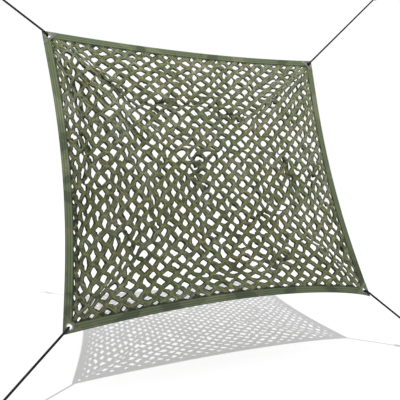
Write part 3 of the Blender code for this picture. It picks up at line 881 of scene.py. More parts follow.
@dataclass
class NetPanel:
    """The cloth panel, cut into a diamond mesh whose strands arch and whose lips curl back.

    Its slants, flap_way and flap_fan are in degrees, and flap_turn is in radians. In scatter, twist,
    pocket and both chances, the second number is what a full tangle of the sheet adds.
    """

    sheet: HungSheet
    half_columns: int = 44
    half_rows: int = 42
    inset: float = 22 * MM
    squeeze_left: Pair = (0.55, 3.0)
    squeeze_right: Pair = (0.35, 3.0)
    squeeze_low: Pair = (0.3, 2.5)
    squeeze_high: Pair = (0.24, 8.0)
    scatter: Pair = (2.6 * MM, 6.0 * MM)
    drift: float = 2.2 * MM
    drift_waves: int = 7
    drift_lengths_mm: Pair = (110, 260)
    gather_reach: float = 38 * MM
    gather_widths: float = 2.2
    tight_reach: float = 30 * MM
    # how the holes are pulled long
    tight_pull: float = 0.3
    corner_pull: float = 0.5
    corner_reach: float = 0.3
    side_pull: float = 0.26
    side_reach: float = 0.09
    row_bias: float = 0.09
    slants: Pair = (65, 115)
    pull_uneven: float = 0.07
    most_pull: float = 0.55
    stretch: float = 0.55
    # the strands
    steps: int = 4
    thickness: float = 1.5 * MM
    strand_half: float = 9.6 * MM
    strand_uneven: float = 1.2 * MM
    strand_bend: float = 2.6 * MM
    usual_size: float = 32 * MM
    size_limits: Pair = (0.6, 1.4)
    narrowing: float = 0.8
    side_thinning: float = 0.09
    thinning_reach: float = 0.22
    row_shift: float = 0.1 * MM
    arch: float = 4.5 * MM
    knot_arch: Pair = (0.1, 0.8)
    crown_arch: Pair = (0.7, 1.5)
    arch_power: float = 3.2
    tangled_rise: float = 7.0 * MM
    sunken_chance: Pair = (0.1, 0.3)
    sunken: float = -0.8
    pleat: float = 3.2 * MM
    knot_pleat: float = 0.3
    knot_lip: float = 0.42
    twist: Pair = (0.24, 0.6)
    # the holes
    pointing: float = 0.03
    raggedness: tuple[tuple[int, float], ...] = ((2, 0.06), (3, 0.08), (4, 0.03))
    least_opening: float = 0.12
    openings: Pair = (0.08, 0.85)
    rim_closing: Pair = (0.05, 0.72)
    corner_closing: float = 0.35
    closing_reach: float = 0.13
    seam_closing: float = 0.42
    seam_reach: float = 22 * MM
    curl: float = 2.4 * MM
    curl_swing: float = 0.7
    curl_uneven: float = 0.25
    # painted shadow in a pocket on one side of some holes' lips, under their flaps
    pocket: Pair = (0.58, 0.3)
    pocket_depths: Pair = (0.5, 2.0)
    pocket_chance: Pair = (0.42, 0.5)
    pocket_from: float = 0.5
    flap: float = 0.3
    flap_rise: float = 3.0 * MM
    flap_way: float = -90
    flap_fan: float = 60
    flap_turn: float = 0.35
    flap_uneven: Pair = (0.4, 0.3)
    flap_tangled: float = 0.3
    most_flap: float = 0.75
    # the plain strip under the tapes
    outer_inset: float = 5 * MM
    corner_in: float = 44 * MM
    corner_outer: float = 36 * MM
    front_rings: tuple[float, ...] = (0.36, 0.76, 1.0)
    back_rings: tuple[float, ...] = (1.0, 0.5)
    seed: int = 5

    def __post_init__(self) -> None:
        """Starts the random draws, and the lists that the mesh is gathered in."""
        self.chance = np.random.default_rng(self.seed)
        self.flat: list = []
        self.local: list = []
        self.crowns: list = []
        self.lips: list = []
        self.crease_shades: list = []
        self.faces: list = []
        self.line_ids: dict = {}
        self.strand_tilt: dict = {}
        self.taut: dict = {}

    def tangle(self, place: Array) -> float:
        """How upset the strands are at one flat place, from 0 to 1."""
        return float(self.sheet.tangle(*place))

    @staticmethod
    def spacing(count: int, span: float, first: Pair, last: Pair) -> Array:
        """Places along one axis, closer together near both ends.

        Args:
            count: how many steps.
            span: the distance that they fill.
            first: how much the first step is squeezed, and how many steps that fades over.
            last: the same for the last step.

        Returns:
            The count + 1 places, from 0 to span.
        """
        steps = np.arange(count)
        sizes = 1 - first[0] * np.exp(-steps / first[1]) - last[0] * np.exp(-(count - 1 - steps) / last[1])
        places = np.concatenate([[0.0], np.cumsum(sizes)])
        return places * span / places[-1]

    def lattice(self) -> Array:
        """Spreads, scatters and gathers the knots of the mesh.

        Returns:
            A (columns, rows, 2) array of flat places.
        """
        sheet = self.sheet
        wide, high = sheet.width - 2 * self.inset, sheet.height - 2 * self.inset
        xs = self.inset + self.spacing(self.half_columns, wide, self.squeeze_left, self.squeeze_right)
        ys = self.inset + self.spacing(self.half_rows, high, self.squeeze_low, self.squeeze_high)
        x, y = np.meshgrid(xs, ys, indexing="ij")
        inner = sheet.rise_in(x, y)
        scatter = self.scatter[0] + self.scatter[1] * sheet.tangle(x, y)
        push_x = self.chance.normal(0.0, 1.0, x.shape) * scatter
        push_y = self.chance.normal(0.0, 1.0, x.shape) * scatter
        for _ in range(self.drift_waves):
            turn, way, phase = self.chance.uniform(0, math.tau, 3)
            length = self.chance.uniform(*self.drift_lengths_mm) * MM
            wave = self.drift * np.sin((x * math.cos(turn) + y * math.sin(turn)) * math.tau / length + phase)
            push_x += wave * math.cos(way)
            push_y += wave * math.sin(way)
        for crease in sheet.creases + sheet.folds:
            fraction, offset = sheet.crease_place(crease, x, y)
            aside = sheet.crease_line(crease)[2]
            reach = max(self.gather_widths * crease.half_width, self.gather_reach)
            pull = -crease.gather * offset * np.exp(-(offset / reach) ** 2)
            pull *= np.sin(np.pi * np.clip(fraction, 0.0, 1.0))
            push_x += pull * aside[0]
            push_y += pull * aside[1]
        knots = np.stack([x + inner * push_x, y + inner * push_y], axis=2)
        for crease in sheet.folds:
            if crease.tight > 0:
                self.draw_straight(knots, crease)
        return knots

    def draw_straight(self, knots: Array, crease: Crease) -> None:
        """Finds the chain of strands along a tight crease, and moves its knots onto the crease.

        Args:
            knots: the lattice, whose places are changed.
            crease: the crease.
        """
        start, run, aside, length = self.sheet.crease_line(crease)
        column, row = np.indices(knots.shape[:2])
        off = np.linalg.norm(knots - start, axis=2) + np.where((column + row) % 2 == 1, math.inf, 0.0)
        knot = tuple(int(part) for part in np.unravel_index(np.argmin(off), off.shape))
        down = 1 if run[1] > 0 else -1
        chain = []
        while (knots[knot] - start) @ run < length and 0 < knot[0] < self.half_columns and 0 < knot[1]:
            chain.append(knot)
            ways = [(knot[0] + 1, knot[1] + down), (knot[0] - 1, knot[1] + down)]
            knot = min(ways, key=lambda way: abs(float((knots[way] - start) @ aside)))
        total = np.zeros(knots.shape)
        weight = np.zeros(knots.shape[:2])
        for knot in chain:
            near = np.exp(-(np.linalg.norm(knots - knots[knot], axis=2) / self.tight_reach) ** 2)
            total -= crease.tight * float((knots[knot] - start) @ aside) * near[:, :, None] * aside
            weight += near
        knots += total / np.maximum(weight, 1.0)[:, :, None]
        for pair in zip(chain, chain[1:]):
            self.taut[min(pair), max(pair)] = (crease.shade, run, aside)

    def pull(self, place: Array, odd: bool, along: complex) -> tuple[Array, float]:
        """How a hole is pulled long: towards the corners, along the upright sides and at the tugs.

        Args:
            place: the hole's flat place.
            odd: whether its half column is odd, because the cuts slant the other way there.
            along: what a tight crease beside it adds, as a doubled direction.

        Returns:
            The pull's direction, as a unit vector, and its strength.
        """
        sheet = self.sheet
        total = along + self.row_bias * doubled(math.radians(self.slants[odd]))
        for corner in Corner:
            away = np.array(sheet.corner_point(corner, 0.0, 0.0)) - place
            weight = self.corner_pull * math.exp(-np.linalg.norm(away) / self.corner_reach)
            total += weight * doubled(math.atan2(away[1], away[0]))
        to_side = min(place[0], sheet.width - place[0])
        total += self.side_pull * math.exp(-to_side / self.side_reach) * doubled(math.pi / 2)
        for tug in sheet.tugs:
            distance = math.hypot(place[0] / sheet.width - tug.x, place[1] / sheet.height - tug.y)
            weight = tug.strength * math.exp(-(distance / tug.reach) ** 2)
            total += weight * doubled(math.radians(tug.degrees))
        total += complex(self.chance.normal(0.0, self.pull_uneven), self.chance.normal(0.0, self.pull_uneven))
        direction = float(np.angle(total)) / 2
        return np.array([math.cos(direction), math.sin(direction)]), float(min(abs(total), self.most_pull))

    def flap_at(self, centre: Array, angles: Array, odd: bool) -> tuple[Array, float]:
        """The flap of cloth that leans over part of a hole.

        Args:
            centre: the hole's flat place.
            angles: the directions of the points round its edge.
            odd: whether its half column is odd, because those holes have the larger flaps.

        Returns:
            How much each point belongs to the flap, and how much of the hole it covers.
        """
        uneven = self.flap_uneven[odd] * self.flap
        if odd:
            fan = self.flap_fan * (1 - 2 * (centre[0] / self.sheet.width))
            turn = math.radians(self.flap_way - fan) + self.chance.normal(0.0, self.flap_turn)
            depth = self.chance.normal(self.flap, uneven)
        else:
            turn = self.chance.uniform(0, math.tau)
            depth = abs(self.chance.normal(0.0, uneven))
        depth += self.flap_tangled * self.tangle(centre) * self.chance.random()
        return np.clip(np.cos(angles - turn), 0.0, None) ** 2, float(np.clip(depth, 0.0, self.most_flap))

    def add_point(self, place: Array, height: float, lip: float, pleat: float = 0.0,
                  dark: float = 0.0) -> int:
        """Stores one point of the panel's middle surface, below its crown by a pleat's depth.

        Args:
            place: the point's flat place.
            height: the crown's height above the sheet.
            lip: how near to a hole's edge it is, from 0 to 1.
            pleat: the depth of the pleat there.
            dark: how much painted shade a tight crease gives it.

        Returns:
            The point's number.
        """
        self.flat.append((place[0], place[1]))
        self.local.append(height - pleat)
        self.crowns.append(height)
        self.lips.append(lip)
        self.crease_shades.append(dark)
        return len(self.flat) - 1

    def line(self, knots: Array, start: tuple, end: tuple) -> list[int]:
        """The points along a strand's middle, between two knots.

        Args:
            knots: the lattice.
            start: the first knot's column and row.
            end: the last knot's column and row.

        Returns:
            The numbers of the points, with both knots.
        """
        key = min(start, end), max(start, end)
        if key not in self.line_ids:
            for knot in key:
                if knot not in self.line_ids:
                    rise = self.tangled_rise * self.tangle(knots[knot])
                    height = self.arch * self.chance.uniform(*self.knot_arch)
                    height += self.chance.normal(0.0, 1.0) * rise
                    self.line_ids[knot] = self.add_point(knots[knot], height, self.knot_lip,
                                                         self.knot_pleat * self.pleat)
            first, last = knots[key[0]], knots[key[1]]
            tangle = self.tangle((first + last) / 2)
            on_rim = key[0][0] == key[1][0] or key[0][1] == key[1][1]
            run = last - first
            aside = np.array([-run[1], run[0]]) / np.linalg.norm(run)
            bend = 0.0 if on_rim else self.chance.normal(0.0, self.strand_bend * (1 + tangle))
            crown = self.arch * self.chance.uniform(*self.crown_arch)
            if self.chance.random() < self.sunken_chance[0] + self.sunken_chance[1] * tangle:
                crown *= self.sunken
            self.strand_tilt[key] = self.chance.normal(0.0, self.twist[0] + self.twist[1] * tangle)
            pleat = self.pleat * self.chance.uniform(0.0, 1.0)
            middle = []
            for step in range(1, self.steps):
                share = step / self.steps
                place = first + run * share + aside * bend * math.sin(math.pi * share)
                middle.append(self.add_point(place, crown, 0.0, pleat))
            self.line_ids[key] = [self.line_ids[key[0]], *middle, self.line_ids[key[1]]]
        points = self.line_ids[key]
        return points if start < end else points[::-1]

    def cell_corners(self, column: int, row: int) -> list[tuple]:
        """The knots round a hole, anticlockwise from the lowest, without those off the mesh."""
        around = [(column, row - 1), (column + 1, row), (column, row + 1), (column - 1, row)]
        return [(c, r) for c, r in around if 0 <= c <= self.half_columns and 0 <= r <= self.half_rows]

    def opened(self, outer: Array, insets: list[float], centre: Array, size: float) -> Array:
        """How far the hole opens towards each point round it, from the widths of its strands.

        Args:
            outer: the points along the strands' middles.
            insets: each strand's half width.
            centre: the hole's flat place.
            size: the mean distance from there to its knots.

        Returns:
            The share of the way to each point, with the shares at the knots drawn to a point.
        """
        count = len(outer)
        narrowing = float(np.clip(size / self.usual_size, *self.size_limits)) ** self.narrowing
        to_side = min(centre[0], self.sheet.width - centre[0])
        narrowing *= 1 - self.side_thinning * math.exp(-to_side / self.thinning_reach)
        scale = np.empty(count)
        for side, inset in enumerate(insets):
            first = outer[side * self.steps]
            last = outer[(side + 1) * self.steps % count]
            run = last - first
            reach = abs(run[0] * (centre - first)[1] - run[1] * (centre - first)[0]) / np.linalg.norm(run)
            opening = max(1 - narrowing * inset / reach, self.least_opening)
            scale[side * self.steps:(side + 1) * self.steps] = opening
        at_knot = np.arange(count) % self.steps == 0
        return np.where(at_knot, np.minimum(scale, np.roll(scale, 1)) * (1 + self.pointing), scale)

    def closed_up(self, centre: Array, half: bool) -> float:
        """How much of its size a hole keeps beside the tapes and at the top corners.

        Args:
            centre: the hole's flat place.
            half: whether it is one of the half holes along the edges.

        Returns:
            The share that it keeps.
        """
        keep = self.chance.uniform(*self.rim_closing) if half else 1.0
        to_side = min(centre[0], self.sheet.width - centre[0])
        from_top = self.sheet.height - centre[1]
        keep *= 1 - self.corner_closing * math.exp(-(math.hypot(to_side, from_top) / self.closing_reach) ** 2)
        from_seam = min(to_side, centre[1], from_top) - self.sheet.seam
        return keep * (1 - self.seam_closing * math.exp(-(from_seam / self.seam_reach) ** 2))

    def cut_cell(self, knots: Array, column: int, row: int) -> None:
        """Builds the cloth round one hole, from its strands' middles to its lip, front and back.

        Args:
            knots: the lattice.
            column: the hole's half column.
            row: the hole's half row.
        """
        corners = self.cell_corners(column, row)
        odd = column % 2 == 1
        centre = np.mean([knots[knot] for knot in corners], axis=0)
        loop, tilts, insets = [], [], []
        shade = np.zeros(len(corners) * self.steps)
        along = 0j
        for side, (start, end) in enumerate(zip(corners, corners[1:] + corners[:1])):
            key = min(start, end), max(start, end)
            loop += self.line(knots, start, end)[:-1]
            tilts += [self.strand_tilt[key] if start < end else -self.strand_tilt[key]] * self.steps
            half_width = self.strand_half + (self.row_shift if odd else -self.row_shift)
            insets.append(half_width + self.chance.normal(0.0, self.strand_uneven))
            if key in self.taut:
                amount, run, aside = self.taut[key]
                along += self.tight_pull * doubled(math.atan2(run[1], run[0]))
                if (centre - knots[start]) @ aside > 0:
                    shade[np.arange(side * self.steps, (side + 1) * self.steps + 1) % len(shade)] = amount
        outer = np.array([self.flat[number] for number in loop])
        size = np.mean([np.linalg.norm(knots[knot] - centre) for knot in corners])
        rounded = self.opened(outer, insets, centre, size)
        angles = np.arctan2(outer[:, 1] - centre[1], outer[:, 0] - centre[0])
        facing, flap = self.flap_at(centre, angles, odd)
        for harmonic, amount in self.raggedness:
            turn = self.chance.uniform(0, math.tau)
            rounded = rounded * (1 + self.chance.normal(0.0, amount) * np.cos(harmonic * angles - turn))
        rounded = rounded * (1 - flap * facing) * self.closed_up(centre, len(corners) < 4 and row > 1)
        offset = (outer - centre) * np.clip(rounded, *self.openings)[:, None]
        longest, strength = self.pull(centre, odd, along)
        stretched = np.outer(offset @ longest, longest)
        edge = centre + stretched * (1 + self.stretch * strength) + (offset - stretched) * (1 - strength)
        lift = self.flap_rise * flap / self.flap * facing
        self.pile_rings(loop, edge, angles, np.array(tilts), lift, shade, self.tangle(centre))

    def pile_rings(self, loop: list[int], edge: Array, angles: Array, tilt: Array, lift: Array,
                   shade: Array, tangle: float) -> None:
        """Adds the rings of points from a hole's strands to its edge, and their faces.

        Args:
            loop: the numbers of the points along the strands' middles.
            edge: the flat places of the hole's edge.
            angles: the direction of each point from the hole's middle.
            tilt: how each strand tilts.
            lift: how far a flap lifts the edge.
            shade: how much painted shade a tight crease gives each point.
            tangle: how upset the strands are there.
        """
        count = len(loop)
        outer = np.array([self.flat[number] for number in loop])
        heights = np.array([self.crowns[number] for number in loop])
        at_knot = np.arange(count) % self.steps == 0
        tilt[at_knot] = 0.5 * (tilt[at_knot] + np.roll(tilt, 1)[at_knot])
        width = np.linalg.norm(outer - edge, axis=1)
        turn = self.chance.uniform(0, math.tau)
        swing = self.curl_swing * np.cos(angles - turn)
        curl = self.curl * (1.0 + swing + self.chance.normal(0.0, self.curl_uneven))
        # a pocket of painted shadow, near black, on one side of the lip where a flap would shade it
        dark_turn = self.chance.uniform(0, math.tau)
        dark = self.chance.uniform(*self.pocket_depths) * (self.pocket[0] + self.pocket[1] * tangle)
        if self.chance.random() > self.pocket_chance[0] + self.pocket_chance[1] * tangle:
            dark = 0.0
        pocket = 1 + dark * np.clip(np.cos(angles - dark_turn), 0.0, None) ** 2
        rings = {}
        for share in sorted(set(self.front_rings + self.back_rings)):
            place = outer + (edge - outer) * share
            arch = heights * (1 - share ** self.arch_power) - curl * share ** 3 + tilt * width * share
            arch = arch + lift * share ** 2
            lip = share * pocket if share > self.pocket_from else np.full(count, share)
            rings[share] = [self.add_point(place[k], arch[k], lip[k], dark=shade[k]) for k in range(count)]
        self.join_rings([loop] + [rings[share] for share in self.front_rings], front=True)
        self.join_rings([loop] + [rings[share] for share in reversed(self.back_rings)], front=False)
        self.join_layers(rings[1.0])

    def join_rings(self, rings: list[list[int]], front: bool) -> None:
        """Adds the bands of faces between rings of points.

        Args:
            rings: the numbers of each ring's points.
            front: whether the bands are on the front, and not on the back.
        """
        for outer, inner in zip(rings, rings[1:]):
            for k in range(len(outer)):
                after = (k + 1) % len(outer)
                self.faces.append(tuple((number, int(front)) for number in (
                    outer[k], outer[after], inner[after], inner[k])))

    def join_layers(self, ring: list[int]) -> None:
        """Adds the band of faces between the front and the back along a ring."""
        for number, after in zip(ring, ring[1:] + ring[:1]):
            self.faces.append(((number, 1), (after, 1), (after, 0), (number, 0)))

    def border(self, knots: Array) -> None:
        """Adds the plain strip round the mesh, which the binding hides.

        Args:
            knots: the lattice.
        """
        columns, rows = self.half_columns, self.half_rows
        walk = [(c, 0) for c in range(0, columns, 2)] + [(columns, r) for r in range(0, rows, 2)]
        walk += [(c, rows) for c in range(columns, 0, -2)] + [(0, r) for r in range(rows, 0, -2)]
        inner = []
        for start, end in zip(walk, walk[1:] + walk[:1]):
            inner += self.line(knots, start, end)[:-1]
        size = np.array([self.sheet.width, self.sheet.height])
        outer = []
        for number in inner:
            place = np.array(self.flat[number])
            near = np.minimum(place, size - place) < self.inset + GAP
            inward = np.where(near, self.outer_inset, self.corner_outer)
            edge = np.where(place < size / 2, inward, size - inward)
            moved = near | ~near[::-1]
            outer.append(self.add_point(np.where(moved, edge, place), 0.0, 0.0))
        for front in (False, True):
            self.join_rings([inner, outer], front)
        self.join_layers(outer)

    def build(self, material: Material) -> Object:
        """Makes the panel.

        Args:
            material: the cloth's finish.

        Returns:
            The panel's object.
        """
        sheet = self.sheet
        knots = self.lattice()
        for corner in Corner:
            right, top, _ = corner.value
            knots[right * self.half_columns, top * self.half_rows] = sheet.corner_point(
                corner, self.corner_in, self.corner_in)
        for column in range(self.half_columns + 1):
            for row in range(self.half_rows + 1):
                if (column + row) % 2 == 1:
                    self.cut_cell(knots, column, row)
        self.border(knots)
        x, y = np.array(self.flat).T
        height = sheet.relief(x, y) + sheet.rise_in(x, y) * np.array(self.local)
        half = self.thickness / 2
        layers = [np.column_stack([x, y, height + side]) for side in (-half, half)]
        points = np.vstack([sheet.place_flat(layer) for layer in layers])
        faces = np.array([[number + layer * len(x) for number, layer in face] for face in self.faces])
        used = np.zeros(len(points), bool)
        used[np.unique(faces)] = True
        renumbered = (np.cumsum(used) - 1)[faces]
        # painted shade in the folds, along the seams and along tight creases
        painted_shade = np.maximum(sheet.painted_shade(x, y), self.crease_shades)
        surface = {"lip": np.array(self.lips), "painted_shade": painted_shade, "tone": sheet.tone(x, y)}
        return add_mesh("net_cloth_panel", points[used], renumbered.tolist(), material, "net_cloth",
                        **{name: np.tile(values, 2)[used] for name, values in surface.items()})


# ---- the binding

@dataclass(frozen=True)
class Blot:
    """A large blot of a tape's print: its middle and half length by fractions of the side.

    depth is above 0 for a dark blot, up to 1, and below it for a pale one, down to -1.
    """

    middle: float
    half_length: float
    depth: float


BLOTS = {
    Side.LEFT: (Blot(0.02, 0.09, 0.62), Blot(0.4, 0.022, 1.0), Blot(0.46, 0.016, 0.9),
                Blot(0.515, 0.03, -0.9), Blot(0.59, 0.035, 1.0), Blot(0.715, 0.05, -1.0)),
    Side.RIGHT: (Blot(0.06, 0.09, 0.75), Blot(0.48, 0.03, -0.7), Blot(0.79, 0.06, -1.0)),
    Side.BOTTOM: (Blot(0.17, 0.035, 1.0), Blot(0.295, 0.037, 1.0), Blot(0.43, 0.035, -1.0),
                  Blot(0.535, 0.036, 1.0), Blot(0.7, 0.025, 1.0), Blot(0.86, 0.025, 0.9)),
    Side.TOP: (Blot(0.26, 0.02, -0.9), Blot(0.307, 0.018, 1.0), Blot(0.35, 0.024, -1.0),
               Blot(0.58, 0.025, 1.0), Blot(0.68, 0.025, -1.0), Blot(0.875, 0.028, 1.0)),
}


@dataclass
class BindingTape:
    """The tape that is folded over one side's edge, mitred at its ends and sewn with two rows."""

    sheet: HungSheet
    side: Side
    width: float = 35 * MM
    thickness: float = 1.0 * MM
    face: float = 2.05 * MM
    face_points: int = 30
    turn_points: int = 7
    turn_reach: float = math.radians(75)
    turn_in: float = 3 * MM
    mitre_gap: float = 0.9 * MM
    station: float = 7 * MM
    rib_height: float = 0.5 * MM
    rib_places: tuple[float, ...] = (6 * MM, 17 * MM, 28 * MM)
    rib_width: float = 4.2 * MM
    # painted shade in the grooves between the ribs and on the fold, and painted shadow along the inner edge
    groove_depth: float = 0.8
    fold_groove: float = 0.5
    edge_shade_reach: float = 3.5 * MM
    pucker: float = 0.35 * MM
    pucker_middle: float = 0.5
    pucker_swing: float = 0.3
    # each set of puckers along the tape: its length, its size and its slant
    puckers: tuple[Triple, ...] = ((71 * MM, 1.0, 20), (43 * MM, 0.7, -30), (133 * MM, 0.8, 0))
    edge_wave: float = 0.7 * MM
    edge_waves: tuple[Pair, ...] = ((47 * MM, 1.0), (29 * MM, 0.6))
    rise_in: float = 4 * MM
    patch_reach: float = 86 * MM
    settle_over: float = 30 * MM
    blot_slants: Pair = (-0.016, 0.012)
    barrel_hole: float = 11.1 * MM
    punch_sides: int = 32
    punch_depth: float = 20 * MM
    stitch_rows: tuple[float, ...] = (4.5 * MM, 31 * MM)
    stitch: float = 5.5 * MM
    stitch_gap: float = 2.5 * MM
    thread: float = 0.45 * MM
    seed: int = 20

    def __post_init__(self) -> None:
        """Works out the side's length and its random phases."""
        across, _ = self.side.value
        self.length = self.sheet.width if across else self.sheet.height
        self.phases = np.random.default_rng(self.seed).uniform(0, math.tau, 6)

    def flat_point(self, along: Array, inward: Array) -> tuple[Array, Array]:
        """Flat places by where they lie on this side.

        Args:
            along: the distance along the side.
            inward: the distance in from its edge.

        Returns:
            The distances across and up the sheet.
        """
        across, far = self.side.value
        if across:
            return along, self.sheet.height - inward if far else inward
        return self.sheet.width - inward if far else inward, along

    def settle(self, along: Array, inward: Array) -> Array:
        """How freely the tape's surface may rise, from none under a corner patch to fully."""
        to_corner = np.minimum(along, self.length - along)
        return smooth_step((to_corner + inward - self.patch_reach) / self.settle_over)

    def surface(self, along: Array, inward: Array) -> Array:
        """The tape's face, with its ribs and puckers.

        Args:
            along: the distance along the side.
            inward: the distance in from its edge.

        Returns:
            The height above the sheet's middle.
        """
        ribs = sum(np.exp(-((inward - place) / self.rib_width) ** 2) for place in self.rib_places)
        wave = sum(size * np.sin(along * math.tau / length + phase + slant * inward)
                   for (length, size, slant), phase in zip(self.puckers, self.phases))
        rise = self.rib_height * ribs + self.pucker * (self.pucker_middle + self.pucker_swing * wave)
        return self.face + rise * self.settle(along, inward) * smooth_step(inward / self.rise_in)

    def section(self) -> list[tuple[float, float, bool]]:
        """The folded tape's outline.

        Returns:
            For each point its distance in, its height, and whether it is on an outer face. There,
            the height is only which face: 1 for the front and -1 for the back.
        """
        across_face = [float(inward) for inward in np.linspace(self.width, self.turn_in, self.face_points)]
        turns = np.linspace(self.turn_reach, -self.turn_reach, self.turn_points)
        inner = self.face - self.thickness
        profile = [(inward, 1.0, True) for inward in across_face]
        profile += [(self.face * (1 - math.cos(turn)), self.face * math.sin(turn), False) for turn in turns]
        profile += [(inward, -1.0, True) for inward in across_face[::-1]]
        profile += [(self.width, -inner, False), (self.face, -inner, False)]
        profile += [(self.face - inner * math.cos(turn), -inner * math.sin(turn), False) for turn in turns]
        return profile + [(self.face, inner, False), (self.width, inner, False)]

    def build(self, material: Material) -> Object:
        """Makes the tape.

        Args:
            material: the tape's finish.

        Returns:
            The tape's object.
        """
        profile = self.section()
        rows = round(self.length / self.station) + 1
        share = np.linspace(0.0, 1.0, rows)
        flats, prints = [], []
        for inward, height, face in profile:
            mitre = inward + self.mitre_gap
            along = mitre + share * (self.length - 2 * mitre)
            depth = np.full_like(along, inward)
            if inward == self.width:
                wave = sum(size * np.sin(along * math.tau / length + phase)
                           for (length, size), phase in zip(self.edge_waves, self.phases[3:]))
                depth = depth + self.edge_wave * wave * self.settle(along, depth)
            rise = np.sign(height) * self.surface(along, depth) if face else np.full_like(along, height)
            flats.append(np.column_stack([*self.flat_point(along, depth), rise]))
            prints.append(self.print_at(share, inward / self.width))
        flat = np.stack(flats, axis=1).reshape(-1, 3)
        grooves = [self.groove(inward) if face else self.fold_groove for inward, _, face in profile]
        tape = add_mesh("binding_tape_" + self.side.label, self.sheet.place_flat(flat),
                        tube_faces(rows, len(profile), looped=False), material, "binding_tape",
                        groove=np.tile(grooves, rows), print=np.stack(prints, axis=1).ravel())
        self.punch(tape)
        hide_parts("binding_" + self.side.label)
        return tape

    def print_at(self, share: Array, across: float) -> Array:
        """How dark or pale the large blots are.

        Args:
            share: shares of the side's length.
            across: a share of the tape's width.

        Returns:
            The blots' depth at each share, above 0 where they are dark.
        """
        total = np.zeros_like(share)
        for number, blot in enumerate(BLOTS[self.side]):
            slant = (0.5 - across) * self.blot_slants[number % 2]
            total += blot.depth * np.exp(-((share - blot.middle - slant) / blot.half_length) ** 4)
        return total

    def groove(self, inward: float) -> float:
        """How much painted shade a place across the tape gets: the most at its inner edge, then between the
        ribs.
        """
        ribs = max(math.exp(-((inward - place) / self.rib_width) ** 2) for place in self.rib_places)
        return max(self.groove_depth * (1 - ribs), 1 - (self.width - inward) / self.edge_shade_reach)

    def punch(self, tape: Object) -> None:
        """Cuts the holes for the two eyelets that this tape carries.

        Args:
            tape: the tape's object.
        """
        across, far = self.side.value
        turn = self.sheet.placing.to_3x3().to_4x4()
        for corner in Corner:
            right, top, _ = corner.value
            if (top if across else right) != far:
                continue
            bm = bmesh.new()
            bmesh.ops.create_cone(bm, cap_ends=True, segments=self.punch_sides, radius1=self.barrel_hole,
                                  radius2=self.barrel_hole, depth=self.punch_depth)
            mesh = bpy.data.meshes.new("punch")
            bm.to_mesh(mesh)
            bm.free()
            mesh.materials.append(tape.data.materials[0])
            punch = add_object("punch", mesh)
            centre = self.sheet.placing @ self.sheet.eyelet_centre(corner)
            punch.matrix_world = Matrix.Translation(centre) @ turn
            cut = tape.modifiers.new("punch", "BOOLEAN")
            cut.object = punch
            cut.solver = "MANIFOLD"
            bpy.context.view_layer.update()
            cut_tape = tape.evaluated_get(bpy.context.evaluated_depsgraph_get())
            applied = bpy.data.meshes.new_from_object(cut_tape)
            tape.modifiers.clear()
            tape.data = applied
            bpy.data.objects.remove(punch)

    def build_stitches(self, material: Material) -> Object:
        """Makes both rows of stitches, on the front and the back of the tape.

        Args:
            material: the thread's finish.

        Returns:
            The stitches' object.
        """
        flats, faces = [], []
        starts = np.arange(self.patch_reach, self.length - self.patch_reach - self.stitch,
                           self.stitch + self.stitch_gap)
        for inward in self.stitch_rows:
            for layer in (1.0, -1.0):
                for begin in starts:
                    middle = begin + self.stitch / 2
                    # each stitch is a low ridge, whose rim is sunk into the tape
                    places = ((begin, 0.0, -0.3), (middle, -1.0, -0.2), (middle, 0.0, 1.0),
                              (middle, 1.0, -0.2), (begin + self.stitch, 0.0, -0.3))
                    first = len(flats)
                    for along, aside, lift in places:
                        depth = inward + aside * self.thread
                        rise = self.surface(np.array(along), np.array(depth)) + lift * self.thread
                        x, y = self.flat_point(along, depth)
                        flats.append((x, y, layer * float(rise)))
                    faces += [(first, first + 1, first + 2), (first, first + 2, first + 3),
                              (first + 4, first + 2, first + 1), (first + 4, first + 3, first + 2),
                              (first, first + 3, first + 4, first + 1)]
        return add_mesh("stitching_" + self.side.label, self.sheet.place_flat(np.array(flats)), faces,
                        material, "binding_tape")


# ---- the corners

